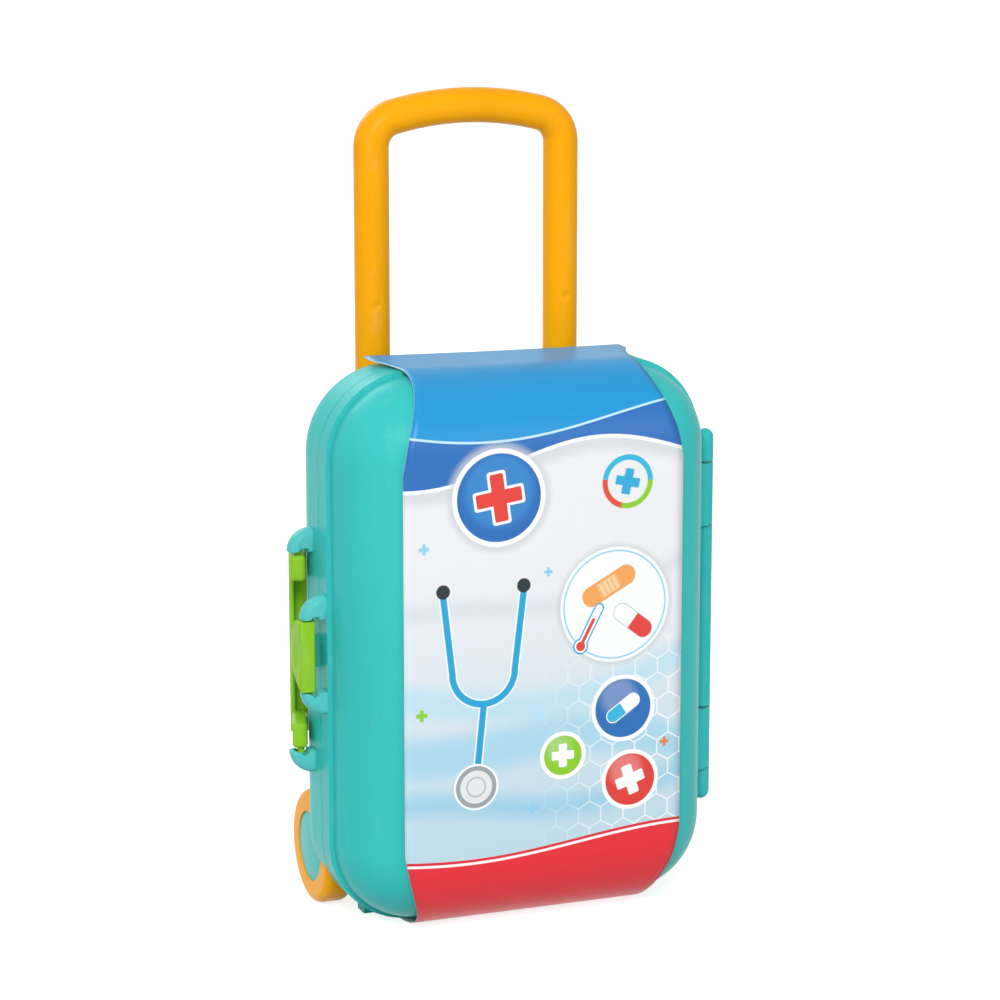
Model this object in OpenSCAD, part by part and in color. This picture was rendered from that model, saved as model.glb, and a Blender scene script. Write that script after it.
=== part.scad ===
// Toy doctor case on wheels: a clamshell case that stands upright, with a
// telescopic handle, a carry handle, a latch, two wheels, a card sleeve round
// its lid and a set of play instruments inside.
// Millimetres. X runs across the case, -Y is the printed front, +Z is up.
// The floor is z = 0 and the seam between lid and base is the plane y = 0.

/* [Case] */
// Width of the case over its side walls
case_w = 247; // [236:1:262]
// Height of the case over its bottom and top walls
case_h = 345; // [335:1:370]
// Depth of the lid in front of the seam
lid_d = 60; // [56:1:70]
// Depth of the base behind the seam
base_d = 56; // [53:1:60]
// Corner radius of the case, seen from the front
corner_r = 54; // [50:1:58]
// Radius of the soft edge round the lid front
lid_edge_r = 46; // [43:1:48]
// Radius of the soft edge round the base back
base_edge_r = 38; // [35:1:41]
// Wall thickness of lid and base
wall = 2.4; // [2:0.1:2.8]
// Depth of the plain rim band round the lid
band_d = 14; // [13.5:0.5:17]
// Step from the rim band down to the pillowed lid front
band_step = 3; // [2:0.1:4]

/* [Hinge and latch] */
// Distance of the hinge axis outside the side wall
hinge_out = 10.5; // [9.5:0.5:11.5]
// Outer radius of the hinge knuckles
knuckle_r = 5.5; // [5:0.1:6]
// Radius of the steel hinge pins
hinge_pin_r = 1.5; // [1.2:0.1:1.8]
// Distance of the latch axis outside the side wall
latch_out = 9.7; // [9.2:0.1:10.2]
// Distance of the latch axis in front of the seam
latch_front = 7.5; // [7.5:0.1:8]
// Height of the latch between its ears
latch_h = 44; // [40:1:48]
// Thickness of the latch plate
latch_t = 3; // [2.6:0.1:3.4]
// Radius of the quarter round latch ears
latch_ear_r = 15.1; // [14.5:0.1:17]

/* [Carry handle] */
// Free height between the carry handle's ears
carry_span = 125; // [115:1:130]
// Distance of the carry handle axis outside the side wall
carry_out = 7.5; // [7.2:0.1:8]
// Distance of the carry handle axis behind the seam
carry_back = 17; // [16:0.5:18]
// Reach of the carry handle from its axis to its bar
carry_reach = 29; // [27:1:32]
// How much lower than the middle of the case the carry handle sits
carry_drop = 3; // [0:0.5:5]
// Angle at which the resting handle leans in towards the case
carry_lean = 18; // [15:1:19]
// Width and depth of the handle bar
bar_w = 8; // [7.4:0.1:9]
// Radius of the quarter round handle ears
carry_ear_r = 14.8; // [14:0.1:16.5]

/* [Telescopic handle] */
// Outer radius of the handle tubes
tube_r = 11; // [10:0.1:11.5]
// Wall thickness of the handle tubes
tube_wall = 2.2; // [1.8:0.1:3]
// Distance between the tube axes
tube_gap = 127; // [118:1:132]
// Distance of the tube axes behind the back of the base
tube_out = 14; // [12.5:0.5:16]
// Height of the top of the grip, as it stands pulled out
grip_top = 508; // [480:1:540]
// Bend radius of the tube axis at the grip's shoulders
shoulder_r = 19; // [17:0.5:22]
// Radius of the gentle crown of the grip
crown_r = 200; // [180:5:260]
// How far the handle pushes in from there
push_in = 115; // [90:1:116]
// How far it still pulls out from there
pull_out = 80; // [40:1:80]

/* [Wheels] */
// Outer radius of the wheels
wheel_r = 36; // [33:0.5:37]
// Width of the wheels
wheel_w = 20; // [17:0.5:21]
// Distance of the wheel axis in front of the back of the base
wheel_fore = 13; // [10:0.5:14]
// Distance of the wheel's outer face inside the side wall
wheel_in = 5.5; // [5:0.5:6.5]
// Radius of the hub caps
hub_r = 22; // [19:0.5:24]
// Radius of the steel axle stubs
axle_r = 3; // [2.5:0.1:3.5]

/* [Card sleeve] */
// Thickness of the card
card_t = 0.5; // [0.4:0.05:0.6]
// Width of the sleeve across the lid front
sleeve_w = 182; // [170:1:186]
// Width of the sleeve where it turns over the soft edges
sleeve_waist = 150; // [140:1:158]
// Width of the sleeve's ends on top of and under the case
sleeve_end_w = 170; // [160:1:174]
// How far the sleeve's ends reach behind the seam
sleeve_back = 25; // [22:1:32]

/* [Tray and instruments] */
// Sheet thickness of the tray
tray_t = 2.2; // [1.8:0.1:2.4]
// Depth of the tray's pockets
pocket_d = 16; // [15:0.5:20]
// Length of a side dish
dish_w = 146; // [130:1:148]
// Height of a side dish
dish_h = 56; // [50:1:58]
// Depth of a side dish
dish_d = 24; // [22:1:26]
// Radius of the syringe barrel
syringe_r = 11; // [9:0.5:11.5]
// Length of the syringe barrel
syringe_l = 96; // [80:1:100]
// Stroke of the syringe plunger
plunger_stroke = 30; // [20:1:32]
// Width of the play glasses
glasses_w = 118; // [105:1:122]
// Radius of the pressure gauge
gauge_r = 23; // [20:0.5:24]
// Length of the thermometer
thermometer_l = 104; // [90:1:110]
// Length of the reflex hammer
hammer_l = 122; // [110:1:126]

/* [Hidden] */
$fn = 72;

teal = "#35c4ba";
yellow = "#fbb017";
lime = "#8fce2f";
red = "#e0402a";
orange = "#f58220";
blue = "#2fa9dc";
steel = "silver";
card = "whitesmoke";
black = "#202020";

eps = 0.01;            // overlap of cutting tools past a face
seam = 0.4;            // open joint between lid and base
play = 0.3;            // room between neighbours that slide past each other
running = 0.06;        // radial room of a pin in its bore
case_lift = card_t + play;   // the case stands on the sleeve's lower end
half_w = case_w / 2;
half_h = case_h / 2;
mid_z = case_lift + half_h;
top_z = case_lift + case_h;
flat_x = half_w - band_step - lid_edge_r;   // the lid's flat front ends here
flat_z = half_h - band_step - lid_edge_r;   // above and below the case middle
tube_back = base_d + tube_out;
wheel_back = base_d - wheel_fore;
lip_h = 2.5;           // height of the base's inner lip
lip_t = 1;             // thickness of the base's inner lip

// ---- soft cornered boxes -------------------------------------------------

// half section of a soft edge: full depth d, rounded by e where it ends
module edge_section(r, e, d, under) {
    translate([0, -under]) square([r, d - e + under]);
    square([r - e, d]);
    intersection() {
        translate([r - e, d - e]) circle(e);
        square([r, d]);
    }
}

// full section of width w, both ends rounded
module bar_section(w, e, d, under) {
    translate([-w / 2, -under]) square([w, d - e + under]);
    translate([-w / 2 + e, 0]) square([w - 2 * e, d]);
    intersection() {
        for (s = [-1, 1]) translate([s * (w / 2 - e), d - e]) circle(e);
        translate([-w / 2, 0]) square([w, d]);
    }
}

// rounded rectangle w by h with corner radius r, risen by d, soft top edge e
module soft_box(w, h, r, e, d, under = 0) {
    rotate([90, 0, 0]) translate([0, 0, -(h / 2 - r)])
        linear_extrude(h - 2 * r) bar_section(w, e, d, under);
    rotate([90, 0, 90]) translate([0, 0, -(w / 2 - r)])
        linear_extrude(w - 2 * r) bar_section(h, e, d, under);
    for (i = [0:3]) {
        sx = (i == 0 || i == 3) ? 1 : -1;
        sy = (i < 2) ? 1 : -1;
        translate([sx * (w / 2 - r), sy * (h / 2 - r), 0]) rotate([0, 0, 90 * i])
            rotate_extrude(angle = 90) edge_section(r, e, d, under);
    }
}

// flat rounded rectangle
module round_plate(w, h, r) {
    square([w - 2 * r, h], center = true);
    square([w, h - 2 * r], center = true);
    for (sx = [-1, 1], sy = [-1, 1])
        translate([sx * (w / 2 - r), sy * (h / 2 - r)]) circle(r);
}

// the same, pierced by the rounded rectangle t further in
module round_ring(w, h, r, t) difference() {
    round_plate(w, h, r);
    round_plate(w - 2 * t, h - 2 * t, r - t);
}

// stands a shape drawn in X-Y, risen in Z, at the seam: risen to the front
module to_front() { translate([0, 0, mid_z]) rotate([90, 0, 0]) children(); }

// the same, risen to the back
module to_back() { mirror([0, 1, 0]) to_front() children(); }

// drawn in X-Z about the case centre, from y = y0 back to y = y1
module slab(y0, y1) {
    translate([0, y1, mid_z]) rotate([90, 0, 0]) linear_extrude(y1 - y0) children();
}

module upright(r, z0, z1) { translate([0, 0, z0]) cylinder(r = r, h = z1 - z0); }

// cylinder along Y from y0 back to y1, centred on x, z
module along_y(x, z, r, y0, y1) {
    translate([x, y1, z]) rotate([90, 0, 0]) cylinder(r = r, h = y1 - y0);
}

// cylinder along X from x0 to x1, centred on y, z
module along_x(y, z, r, x0, x1) {
    translate([x0, y, z]) rotate([0, 90, 0]) cylinder(r = r, h = x1 - x0);
}

module box(x0, x1, y0, y1, z0, z1) {
    translate([x0, y0, z0]) cube([x1 - x0, y1 - y0, z1 - z0]);
}

// what is drawn on the right side, and its mirror image on the left
module both_sides() {
    children();
    mirror([1, 0, 0]) children();
}

// ---- hinge ---------------------------------------------------------------

hinge_x = half_w + hinge_out;
lid_knuckle_h = 40;      // height of each lid knuckle
lid_knuckle_z = 80;      // height of its centre above and below the case middle
knuckle_gap = 1;         // free height between knuckles
end_knuckle_h = 15;      // height of the base knuckles at the ends
upper_knuckle_z = mid_z + lid_knuckle_z;
lower_knuckle_z = mid_z - lid_knuckle_z;
pin_reach = 12;          // how far a hinge pin runs into the base knuckles
web_t = 7.5;             // thickness of the plate that carries a knuckle
web_bite = wall - lip_t - play - 0.1;    // how deep a carrying plate sits in the wall

module knuckle(z0, z1, side) {
    translate([hinge_x, 0, 0]) upright(knuckle_r, z0, z1);
    y0 = (side > 0) ? seam : -seam - web_t;
    box(half_w - web_bite, hinge_x, y0, y0 + web_t, z0, z1);
}

module pin_bore(z0, z1) {
    translate([hinge_x, 0, 0]) upright(hinge_pin_r + running, z0, z1);
}

module hinge_bores() {
    reach = lid_knuckle_h / 2 + pin_reach + 1;
    for (z = [lower_knuckle_z, upper_knuckle_z]) pin_bore(z - reach, z + reach);
}

module hinge_pins() color(steel) {
    reach = lid_knuckle_h / 2 + pin_reach;
    for (z = [lower_knuckle_z, upper_knuckle_z])
        translate([hinge_x, 0, 0]) upright(hinge_pin_r, z - reach, z + reach);
}

// ---- ears that hold the latch and the carry handle ------------------------

// quarter round ear that stands on the left wall above z, or below it
module ear(r, y_mid, thick, z, up) {
    intersection() {
        translate([-half_w, y_mid, z]) sphere(r);
        translate([0, 0, up > 0 ? z : z - 2 * r])
            box(-half_w - 2 * r, -half_w + ear_root, y_mid - thick / 2, y_mid + thick / 2, 0, 2 * r);
    }
}

latch_x = -half_w - latch_out;
latch_y = -latch_front;
latch_ear_t = 13;        // thickness of a latch ear, front to back
latch_stub_r = 2;        // radius of the studs moulded on the latch
stub_l = 6;              // length of a moulded stud
ear_gap = 0.4;           // free height between an ear and what turns in it
ear_root = 2;            // ears are cut to the wall from this far inside it
carry_x = -half_w - carry_out;
carry_z = mid_z - carry_drop;
carry_ear_t = 12;
carry_stub_r = 2.2;

module latch_ears() color(teal) difference() {
    for (s = [-1, 1]) ear(latch_ear_r, latch_y, latch_ear_t, mid_z + s * (latch_h / 2 + ear_gap), s);
    stub_bores(latch_x, latch_y, latch_stub_r, mid_z, latch_h / 2 + ear_gap);
    box(-half_w, 0, -band_d - 1, 1, mid_z - latch_h, mid_z + latch_h);
}

module carry_ears() color(teal) difference() {
    for (s = [-1, 1]) ear(carry_ear_r, carry_back, carry_ear_t, carry_z + s * carry_span / 2, s);
    stub_bores(carry_x, carry_back, carry_stub_r, carry_z, carry_span / 2);
    base_body();
}

// bores for two studs whose feet lie half above and below z
module stub_bores(x, y, r, z, half) {
    reach = half + stub_l + play;
    translate([x, y, 0]) upright(r + running, z - reach, z + reach);
}

// ---- lid -----------------------------------------------------------------

pillow_w = case_w - 2 * band_step;
pillow_h = case_h - 2 * band_step;
pillow_r = corner_r - band_step;
label_w = 2 * flat_x - 4;
label_h = 2 * flat_z - 11;
label_r = 16;
label_sink = 0.4;        // depth of the label's bed
label_t = 0.3;
lid_inner_y = -(lid_d - wall);

module lid_shell() color(teal) difference() {
    union() {
        difference() {
            union() {
                to_front() translate([0, 0, seam])
                    linear_extrude(band_d - seam) round_plate(case_w, case_h, corner_r);
                to_front() translate([0, 0, seam])
                    soft_box(pillow_w, pillow_h, pillow_r, lid_edge_r, lid_d - seam);
            }
            to_front() soft_box(pillow_w - 2 * wall, pillow_h - 2 * wall, pillow_r - wall,
                lid_edge_r - wall, lid_d - wall, 1);
            to_front() translate([0, 0, -1]) linear_extrude(band_d - wall + 1)
                round_plate(case_w - 2 * wall, case_h - 2 * wall, corner_r - wall);
            // rebate for the base's lip
            to_front() translate([0, 0, -1]) linear_extrude(lip_h + 1 + play)
                round_plate(case_w - 2 * (wall - lip_t - play), case_h - 2 * (wall - lip_t - play),
                    corner_r - (wall - lip_t - play));
            // bed of the front label
            slab(-lid_d - 1, -lid_d + label_sink) round_plate(label_w, label_h, label_r);
        }
        for (z = [lower_knuckle_z, upper_knuckle_z])
            knuckle(z - lid_knuckle_h / 2, z + lid_knuckle_h / 2, -1);
    }
    hinge_bores();
}

module front_label() color(card)
    slab(-lid_d + label_sink - label_t, -lid_d + label_sink)
        round_plate(label_w - 1, label_h - 1, label_r - 0.5);

// ---- base ----------------------------------------------------------------

wheel_x = half_w - wheel_in;             // outer face of a wheel
well_r = wheel_r + 1.5;                  // clear radius round a wheel
well_wall = 2.2;                         // wall round a wheel well
well_out = wheel_x + 1.4;                // inner face of the skirt outside a wheel
well_in = wheel_x - wheel_w - 1.6;       // face of the wall inside a wheel
skirt_back = wheel_back - 14;            // the skirt ends here
skirt_low = wheel_r - 5;                 // and here
boss_r = 7;                              // boss that holds an axle stub
boss_out = well_in + 1.2;                // its face towards the wheel
axle_foot = well_in - 14;                // inner end of an axle stub
post_r = 4.5;                            // posts that carry the tray
post_bore_r = 1.3;
syringe_slot = syringe_l + plunger_stroke + 54;   // length of the syringe's pocket
post_x = half_w - 39.5;
post_z = syringe_slot / 2 + 7;           // above and below the case middle
tray_front = seam;
tray_back = tray_front + tray_t;
cover_y = base_d + 0.1;                  // front face of the rear cover
cover_w = tube_gap + 41;
cover_top = top_z - 39.8;
cover_h = 244;
cover_low = cover_top - cover_h;
cover_t = 2.4;
cover_r = 8;
screw_r = 1.5;
screw_boss_r = 3.6;
screw_boss_l = 9;
screw_x = 40;
screw_inset = 14;                        // first and last screw from the cover's ends
foot_x = half_w - corner_r + 18;         // inner side of the feet under the base
foot_w = 7;
foot_y = 6;
foot_d = 12;
foot_h = 7;
catch_y = 1.5;                           // front face of the latch's catch
catch_t = 3.5;
catch_out = latch_out - 2.7;
catch_h = 20;

module screw_places() {
    step = (cover_top - cover_low - 2 * screw_inset) / 2;
    for (s = [-1, 1], k = [0:2]) translate([s * screw_x, 0, cover_low + screw_inset + k * step])
        children();
}

module post_places() {
    for (sx = [-1, 1], sz = [-1, 1]) translate([sx * post_x, 0, mid_z + sz * post_z]) children();
}

module base_body() to_back() translate([0, 0, seam])
    soft_box(case_w, case_h, corner_r, base_edge_r, base_d - seam);

// solid round a wheel well, kept inside the base's own outline
module well_block() intersection() {
    along_x(wheel_back, wheel_r, well_r + well_wall, well_in - well_wall, half_w + 1);
    base_body();
}

module well_cut() {
    along_x(wheel_back, wheel_r, well_r, well_in, well_out);
    intersection() {
        along_x(wheel_back, wheel_r, well_r, well_in, half_w + 2);
        union() {
            box(0, case_w, skirt_back, 3 * base_d, -wheel_r, 3 * wheel_r);
            box(0, case_w, -base_d, 3 * base_d, -wheel_r, skirt_low);
        }
    }
}

module base_knuckles() {
    knuckle(lower_knuckle_z + lid_knuckle_h / 2 + knuckle_gap,
        upper_knuckle_z - lid_knuckle_h / 2 - knuckle_gap, 1);
    for (s = [-1, 1]) {
        z = mid_z + s * (lid_knuckle_z + lid_knuckle_h / 2 + knuckle_gap + end_knuckle_h / 2);
        knuckle(z - end_knuckle_h / 2, z + end_knuckle_h / 2, 1);
        translate([hinge_x, 0, z + s * end_knuckle_h / 2]) sphere(knuckle_r);
    }
}

// boss in a well's inner wall that holds an axle stub
module axle_boss() along_x(wheel_back, wheel_r, boss_r, axle_foot + 2, boss_out);

module base_walls() difference() {
    union() {
        difference() {
            base_body();
            to_back() soft_box(case_w - 2 * wall, case_h - 2 * wall, corner_r - wall,
                base_edge_r - wall, base_d - wall, 1);
        }
        both_sides() well_block();
        // inner lip that the lid closes over
        slab(-lip_h, 2 * seam) round_ring(case_w - 2 * (wall - lip_t), case_h - 2 * (wall - lip_t),
            corner_r - (wall - lip_t), lip_t);
        base_knuckles();
        box(-half_w - catch_out, -half_w + web_bite, catch_y, catch_y + catch_t,
            mid_z - catch_h / 2, mid_z + catch_h / 2);
        both_sides() box(foot_x, foot_x + foot_w, foot_y, foot_y + foot_d, 0, foot_h);
        post_places() along_y(0, 0, post_r, tray_back + 0.1, base_d - wall / 2);
        screw_places() along_y(0, 0, screw_boss_r, base_d - screw_boss_l, base_d - wall / 2);
    }
    both_sides() well_cut();
}

module base_shell() color(teal) difference() {
    union() {
        base_walls();
        both_sides() axle_boss();
    }
    both_sides() along_x(wheel_back, wheel_r, axle_r + running / 2, axle_foot - 1, well_out);
    hinge_bores();
    post_places() along_y(0, 0, post_bore_r, tray_back - 1, base_d - wall - 6);
    screw_places() along_y(0, 0, screw_r + running / 2, base_d - screw_boss_l + 1, base_d + 1);
}

// ---- latch and carry handle ------------------------------------------------

latch_knuckle_r = 4;
latch_plate_out = 8;                     // outer face of the plate from the axis
latch_cheek = 0.8;                       // how far the front wall reaches in past the axis
latch_face = 6;                          // front face from the axis
latch_tip = 10;                          // how far the plate reaches past the seam
lip_out = 3;                             // bite of the latch's lip behind the catch
lip_thick = 2.7;
latch_arc = latch_tip + latch_front - 8; // rise of the leaf shaped outline
leaf_r = ((latch_h / 2) * (latch_h / 2) + latch_arc * latch_arc) / (2 * latch_arc);

module latch() color(lime) {
    z0 = mid_z - latch_h / 2;
    z1 = mid_z + latch_h / 2;
    plate_x = latch_x - latch_plate_out;
    lip_y = catch_y + catch_t + 0.5;
    intersection() {
        union() {
            box(plate_x, plate_x + latch_t, latch_y - latch_face, latch_tip, z0, z1);
            box(plate_x, latch_x + latch_cheek, latch_y - latch_face,
                latch_y - latch_face + latch_t, z0, z1);
            box(plate_x, latch_x, latch_y - latch_face, latch_y + 2, z0, z1);
            translate([latch_x, latch_y, 0]) upright(latch_knuckle_r, z0, z1);
            box(plate_x, -half_w - catch_out + lip_out, lip_y, lip_y + lip_thick, z0, z1);
        }
        along_x(latch_tip - leaf_r, mid_z, leaf_r, plate_x - 1, -half_w);
    }
    translate([latch_x, latch_y, 0])
        upright(latch_stub_r, z0 - ear_gap - stub_l, z1 + ear_gap + stub_l);
}

arm_w = 8;
arm_h = 17;
carry_knuckle_r = 5.6;
bar_r = 2.4;
end_step = 0.4;                          // the bar is so much shorter than the arms at each end

module carry_handle() color(lime) {
    half = carry_span / 2 - ear_gap;
    translate([carry_x, carry_back, carry_z]) {
        rotate([0, 0, -carry_lean]) {
            for (s = [-1, 1]) translate([0, 0, s * (half - arm_h / 2)]) {
                cylinder(r = carry_knuckle_r, h = arm_h, center = true);
                translate([-arm_w / 2, 0, -arm_h / 2]) cube([arm_w, carry_reach, arm_h]);
            }
            translate([0, carry_reach, -half + end_step]) rotate([0, 0, carry_lean])
                linear_extrude(2 * (half - end_step)) round_plate(bar_w, bar_w, bar_r);
        }
        for (s = [-1, 1]) translate([0, 0, s * (half - arm_h / 2 + (ear_gap + stub_l) / 2)])
            cylinder(r = carry_stub_r, h = arm_h + ear_gap + stub_l, center = true);
    }
}

// ---- telescopic handle -----------------------------------------------------

channel_r = tube_r + 1.25;               // clear half width of a handle channel
channel_wall = 2.2;
channel_floor = cover_low + cover_t;
tube_foot = channel_floor + 2.6 + push_in;    // lower end of the tubes, pulled out
guide_h = 16;                            // height of the guides at the channels' mouths
guide_flange = 2.5;
stop_h = cover_top - guide_h - tube_foot - pull_out - 2;
shoulder_x = tube_gap / 2 - shoulder_r;
crown_z = grip_top - tube_r - crown_r;
shoulder_z = crown_z + sqrt(pow(crown_r - shoulder_r, 2) - shoulder_x * shoulder_x);
crown_half = asin(shoulder_x / (crown_r - shoulder_r));
bend_gap = 0.03;                         // angle of the parting line beside each shoulder
dimple_z = 375;
dimple_r = 3;

// torus arc in the X-Z plane about x, z, from angle a0 to a0 + sweep
module arc_tube(x, y, z, big_r, tube, a0, sweep) {
    translate([x, y, z]) rotate([90, -a0, 0]) rotate_extrude(angle = sweep)
        translate([big_r, 0]) circle(tube);
}

module telescopic_handle() color(yellow) difference() {
    union() {
        both_sides() {
            translate([tube_gap / 2, tube_back, 0]) upright(tube_r, tube_foot, shoulder_z);
            arc_tube(shoulder_x, tube_back, shoulder_z, shoulder_r, tube_r, 0, 90 - crown_half);
            translate([crown_r * sin(crown_half), tube_back, crown_z + crown_r * cos(crown_half)])
                sphere(tube_r - 1);
        }
        arc_tube(0, tube_back, crown_z, crown_r, tube_r, 90 - crown_half + bend_gap,
            2 * (crown_half - bend_gap));
    }
    both_sides() {
        translate([tube_gap / 2, tube_back, 0])
            upright(tube_r - tube_wall, tube_foot - 1, shoulder_z - tube_r);
        translate([tube_gap / 2, tube_back - tube_r - dimple_r * 0.8, dimple_z]) sphere(dimple_r);
    }
}

// collars that stop the tubes at the guides
module handle_stops() color(lime) both_sides() difference() {
    translate([tube_gap / 2, tube_back, 0]) upright(channel_r - 0.15, tube_foot, tube_foot + stop_h);
    translate([tube_gap / 2, tube_back, 0]) upright(tube_r, tube_foot - 1, tube_foot + stop_h + 1);
}

// section of a handle channel: round behind, straight to the case wall in front
module channel_section(r, front) {
    intersection() {
        circle(r);
        translate([-r, -front]) square(2 * r + front);
    }
    translate([-r, -front]) square([2 * r, front]);
}

module channels(r, front, z0, z1) both_sides()
    translate([tube_gap / 2, tube_back, z0]) linear_extrude(z1 - z0) channel_section(r, front);

module handle_guides() color(teal) difference() {
    union() {
        channels(channel_r - 0.05, tube_back - cover_y, cover_top - guide_h, cover_top);
        channels(channel_r + channel_wall - 0.6, tube_back - cover_y, cover_top,
            cover_top + guide_flange);
    }
    both_sides() translate([tube_gap / 2, tube_back, 0])
        upright(tube_r + 0.1, cover_top - guide_h - 1, cover_top + guide_flange + 1);
}

module rear_cover() color(teal) difference() {
    union() {
        translate([0, 0, (cover_low + cover_top) / 2 - mid_z]) slab(cover_y, cover_y + cover_t)
            round_plate(cover_w, cover_top - cover_low, cover_r);
        channels(channel_r + channel_wall, tube_back - cover_y, cover_low, cover_top);
    }
    channels(channel_r, tube_back - cover_y + 1, channel_floor, cover_top + 1);
    screw_places() along_y(0, 0, screw_r + 0.1, cover_y - 1, cover_y + cover_t + 1);
}

// pan head screw along Y, its head behind y and its shank in front of it
module screw(y, r, head_r, head_h, l, dir) {
    y1 = y + dir * head_h;
    y2 = y - dir * l;
    difference() {
        union() {
            along_y(0, 0, head_r, min(y, y1), max(y, y1));
            along_y(0, 0, r, min(y, y2), max(y, y2));
        }
        for (a = [0, 90]) rotate([0, a, 0])
            box(-head_r * 0.6, head_r * 0.6, min(y1 - dir, y1 + dir), max(y1 - dir, y1 + dir),
                -0.4, 0.4);
    }
}

module rear_cover_screws() color(steel) screw_places()
    screw(cover_y + cover_t + 0.05, screw_r, 3, 1.8, cover_t + 6, 1);

// ---- wheels ----------------------------------------------------------------

wheel_edge_r = 5;                        // rounding of the tread's edges
hub_sink = 2;                            // depth of the hub cap's seat
axle_head_r = 5.5;
head_pocket_r = 7;
head_pocket = 2.6;
web_out = wheel_w - hub_sink - head_pocket;   // outer face of the web at the axle
web_in = web_out - 4;                    // its inner face
cap_t = 1;                               // edge thickness of a hub cap
cap_rise = 1.6;                          // how far its middle rises above the edge
cap_dome_r = (hub_r * hub_r + cap_rise * cap_rise) / (2 * cap_rise);
spoke_t = 2;

// drawn along Z: inner face at 0, outer face at wheel_w
module wheel_shape() difference() {
    rotate_extrude() {
        square([wheel_r - wheel_edge_r, wheel_w]);
        translate([0, wheel_edge_r]) square([wheel_r, wheel_w - 2 * wheel_edge_r]);
        for (z = [wheel_edge_r, wheel_w - wheel_edge_r])
            translate([wheel_r - wheel_edge_r, z]) circle(wheel_edge_r);
    }
    translate([0, 0, wheel_w - hub_sink]) cylinder(r = hub_r + 0.2, h = hub_sink + 1);
    translate([0, 0, web_out]) cylinder(r = head_pocket_r, h = wheel_w);
    translate([0, 0, -1]) cylinder(r = axle_r + running, h = wheel_w + 2);
    difference() {
        translate([0, 0, -1]) cylinder(r = wheel_r - wheel_edge_r, h = web_in + 1);
        translate([0, 0, -2]) cylinder(r = boss_r, h = wheel_w);
        for (a = [0:60:120]) rotate([0, 0, a])
            translate([-wheel_r, -spoke_t / 2, -2]) cube([2 * wheel_r, spoke_t, wheel_w]);
    }
}

module cap_shape() translate([0, 0, wheel_w - hub_sink + 0.05]) rotate_extrude() intersection() {
    translate([0, cap_t + cap_rise - cap_dome_r]) circle(cap_dome_r, $fn = 720);
    square([hub_r, cap_t + cap_rise + 1]);
}

module on_axle() translate([wheel_x - wheel_w, wheel_back, wheel_r]) rotate([0, 90, 0]) children();

module wheel_right() color(yellow) on_axle() wheel_shape();
module wheel_left() color(yellow) mirror([1, 0, 0]) on_axle() wheel_shape();
module hub_cap_right() color(teal) on_axle() cap_shape();
module hub_cap_left() color(teal) mirror([1, 0, 0]) on_axle() cap_shape();

module wheel_axles() color(steel) both_sides() {
    head_x = wheel_x - wheel_w + web_out + 0.1;
    along_x(wheel_back, wheel_r, axle_r, axle_foot, head_x);
    along_x(wheel_back, wheel_r, axle_head_r, head_x, head_x + 1.5);
}

// ---- card sleeve -----------------------------------------------------------

bend_y = -(lid_d - lid_edge_r);          // the card's bends are centred here
bend_in = lid_edge_r + play;
bend_out = bend_in + card_t;
notch_r = 78;                            // radius of the die cut waists
notch_tip = 15;                          // their axes lean so far to the front
bend_low = case_lift + lid_edge_r;
bend_high = top_z - lid_edge_r;

// side view of the card, y to the right and z up
module sleeve_section() {
    difference() {
        union() {
            for (z = [bend_low, bend_high]) translate([bend_y, z]) circle(bend_out);
            translate([bend_y - bend_out, bend_low]) square([bend_out, bend_high - bend_low]);
        }
        for (z = [bend_low, bend_high]) translate([bend_y, z]) circle(bend_in);
        translate([bend_y - bend_in, bend_low]) square([2 * bend_out, bend_high - bend_low]);
        translate([bend_y, -bend_out]) square([2 * bend_out, top_z + 3 * bend_out]);
    }
}

module card_sleeve() color(card) difference() {
    union() {
        translate([-sleeve_w / 2, 0, 0]) rotate([90, 0, 90]) linear_extrude(sleeve_w) sleeve_section();
        box(-sleeve_end_w / 2, sleeve_end_w / 2, bend_y, sleeve_back, 0, card_t);
        box(-sleeve_end_w / 2, sleeve_end_w / 2, bend_y, sleeve_back,
            top_z + play, top_z + play + card_t);
    }
    both_sides() for (side = [[bend_low, 180 - notch_tip], [bend_high, notch_tip]])
        translate([sleeve_waist / 2 + notch_r, bend_y, side[0]]) rotate([side[1], 0, 0])
            cylinder(r = notch_r, h = 2 * bend_out);
}

// ---- tray and what lies in it ------------------------------------------------

dish_z = half_h - 43.5;                  // dish centres above and below the case middle
dish_t = 1.8;
dish_r = 9;
dish_room = 0.6;                         // room round a dish in its pocket
syringe_x = -half_w + 30;
syringe_z = 14 + (syringe_l - syringe_slot) / 2;  // centre of the barrel
thermo_x = syringe_x + 27;
thermo_r = 5;
glasses_z = 66;
gauge_x = -28;
gauge_z = 10;
pump_z = -58;
pump_w = 37;
steth_x = half_w - 63.5;
steth_z = -14;
steth_ring_r = 36;
steth_tube_r = 3.2;
ear_tip = 1.6;                           // the ear tips are so much thicker
chest_z = -68;
chest_r = 15;
pill_w = half_w - 87.5;
pill_x = half_w - 13 - pill_w / 2;
glasses_x = (thermo_x + thermo_r + pill_x - pill_w / 2) / 2 + 1.5;   // between them
pill_h = 26;
shallow = 8;                             // depth of the shallow pockets
rib = 1.8;                               // wall of a pocket

module capsule(w, h) round_plate(w, h, min(w, h) / 2 - eps);

// outlines of the pockets, grown by g
module deep_pockets(g) {
    translate([syringe_x, 0]) capsule(2 * (syringe_r + 1.5 + g), syringe_slot + 2 * g);
    translate([gauge_x, pump_z]) round_plate(pump_w + 3 + 2 * g, pump_w + 3 + 2 * g, 6 + g);
}

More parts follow.
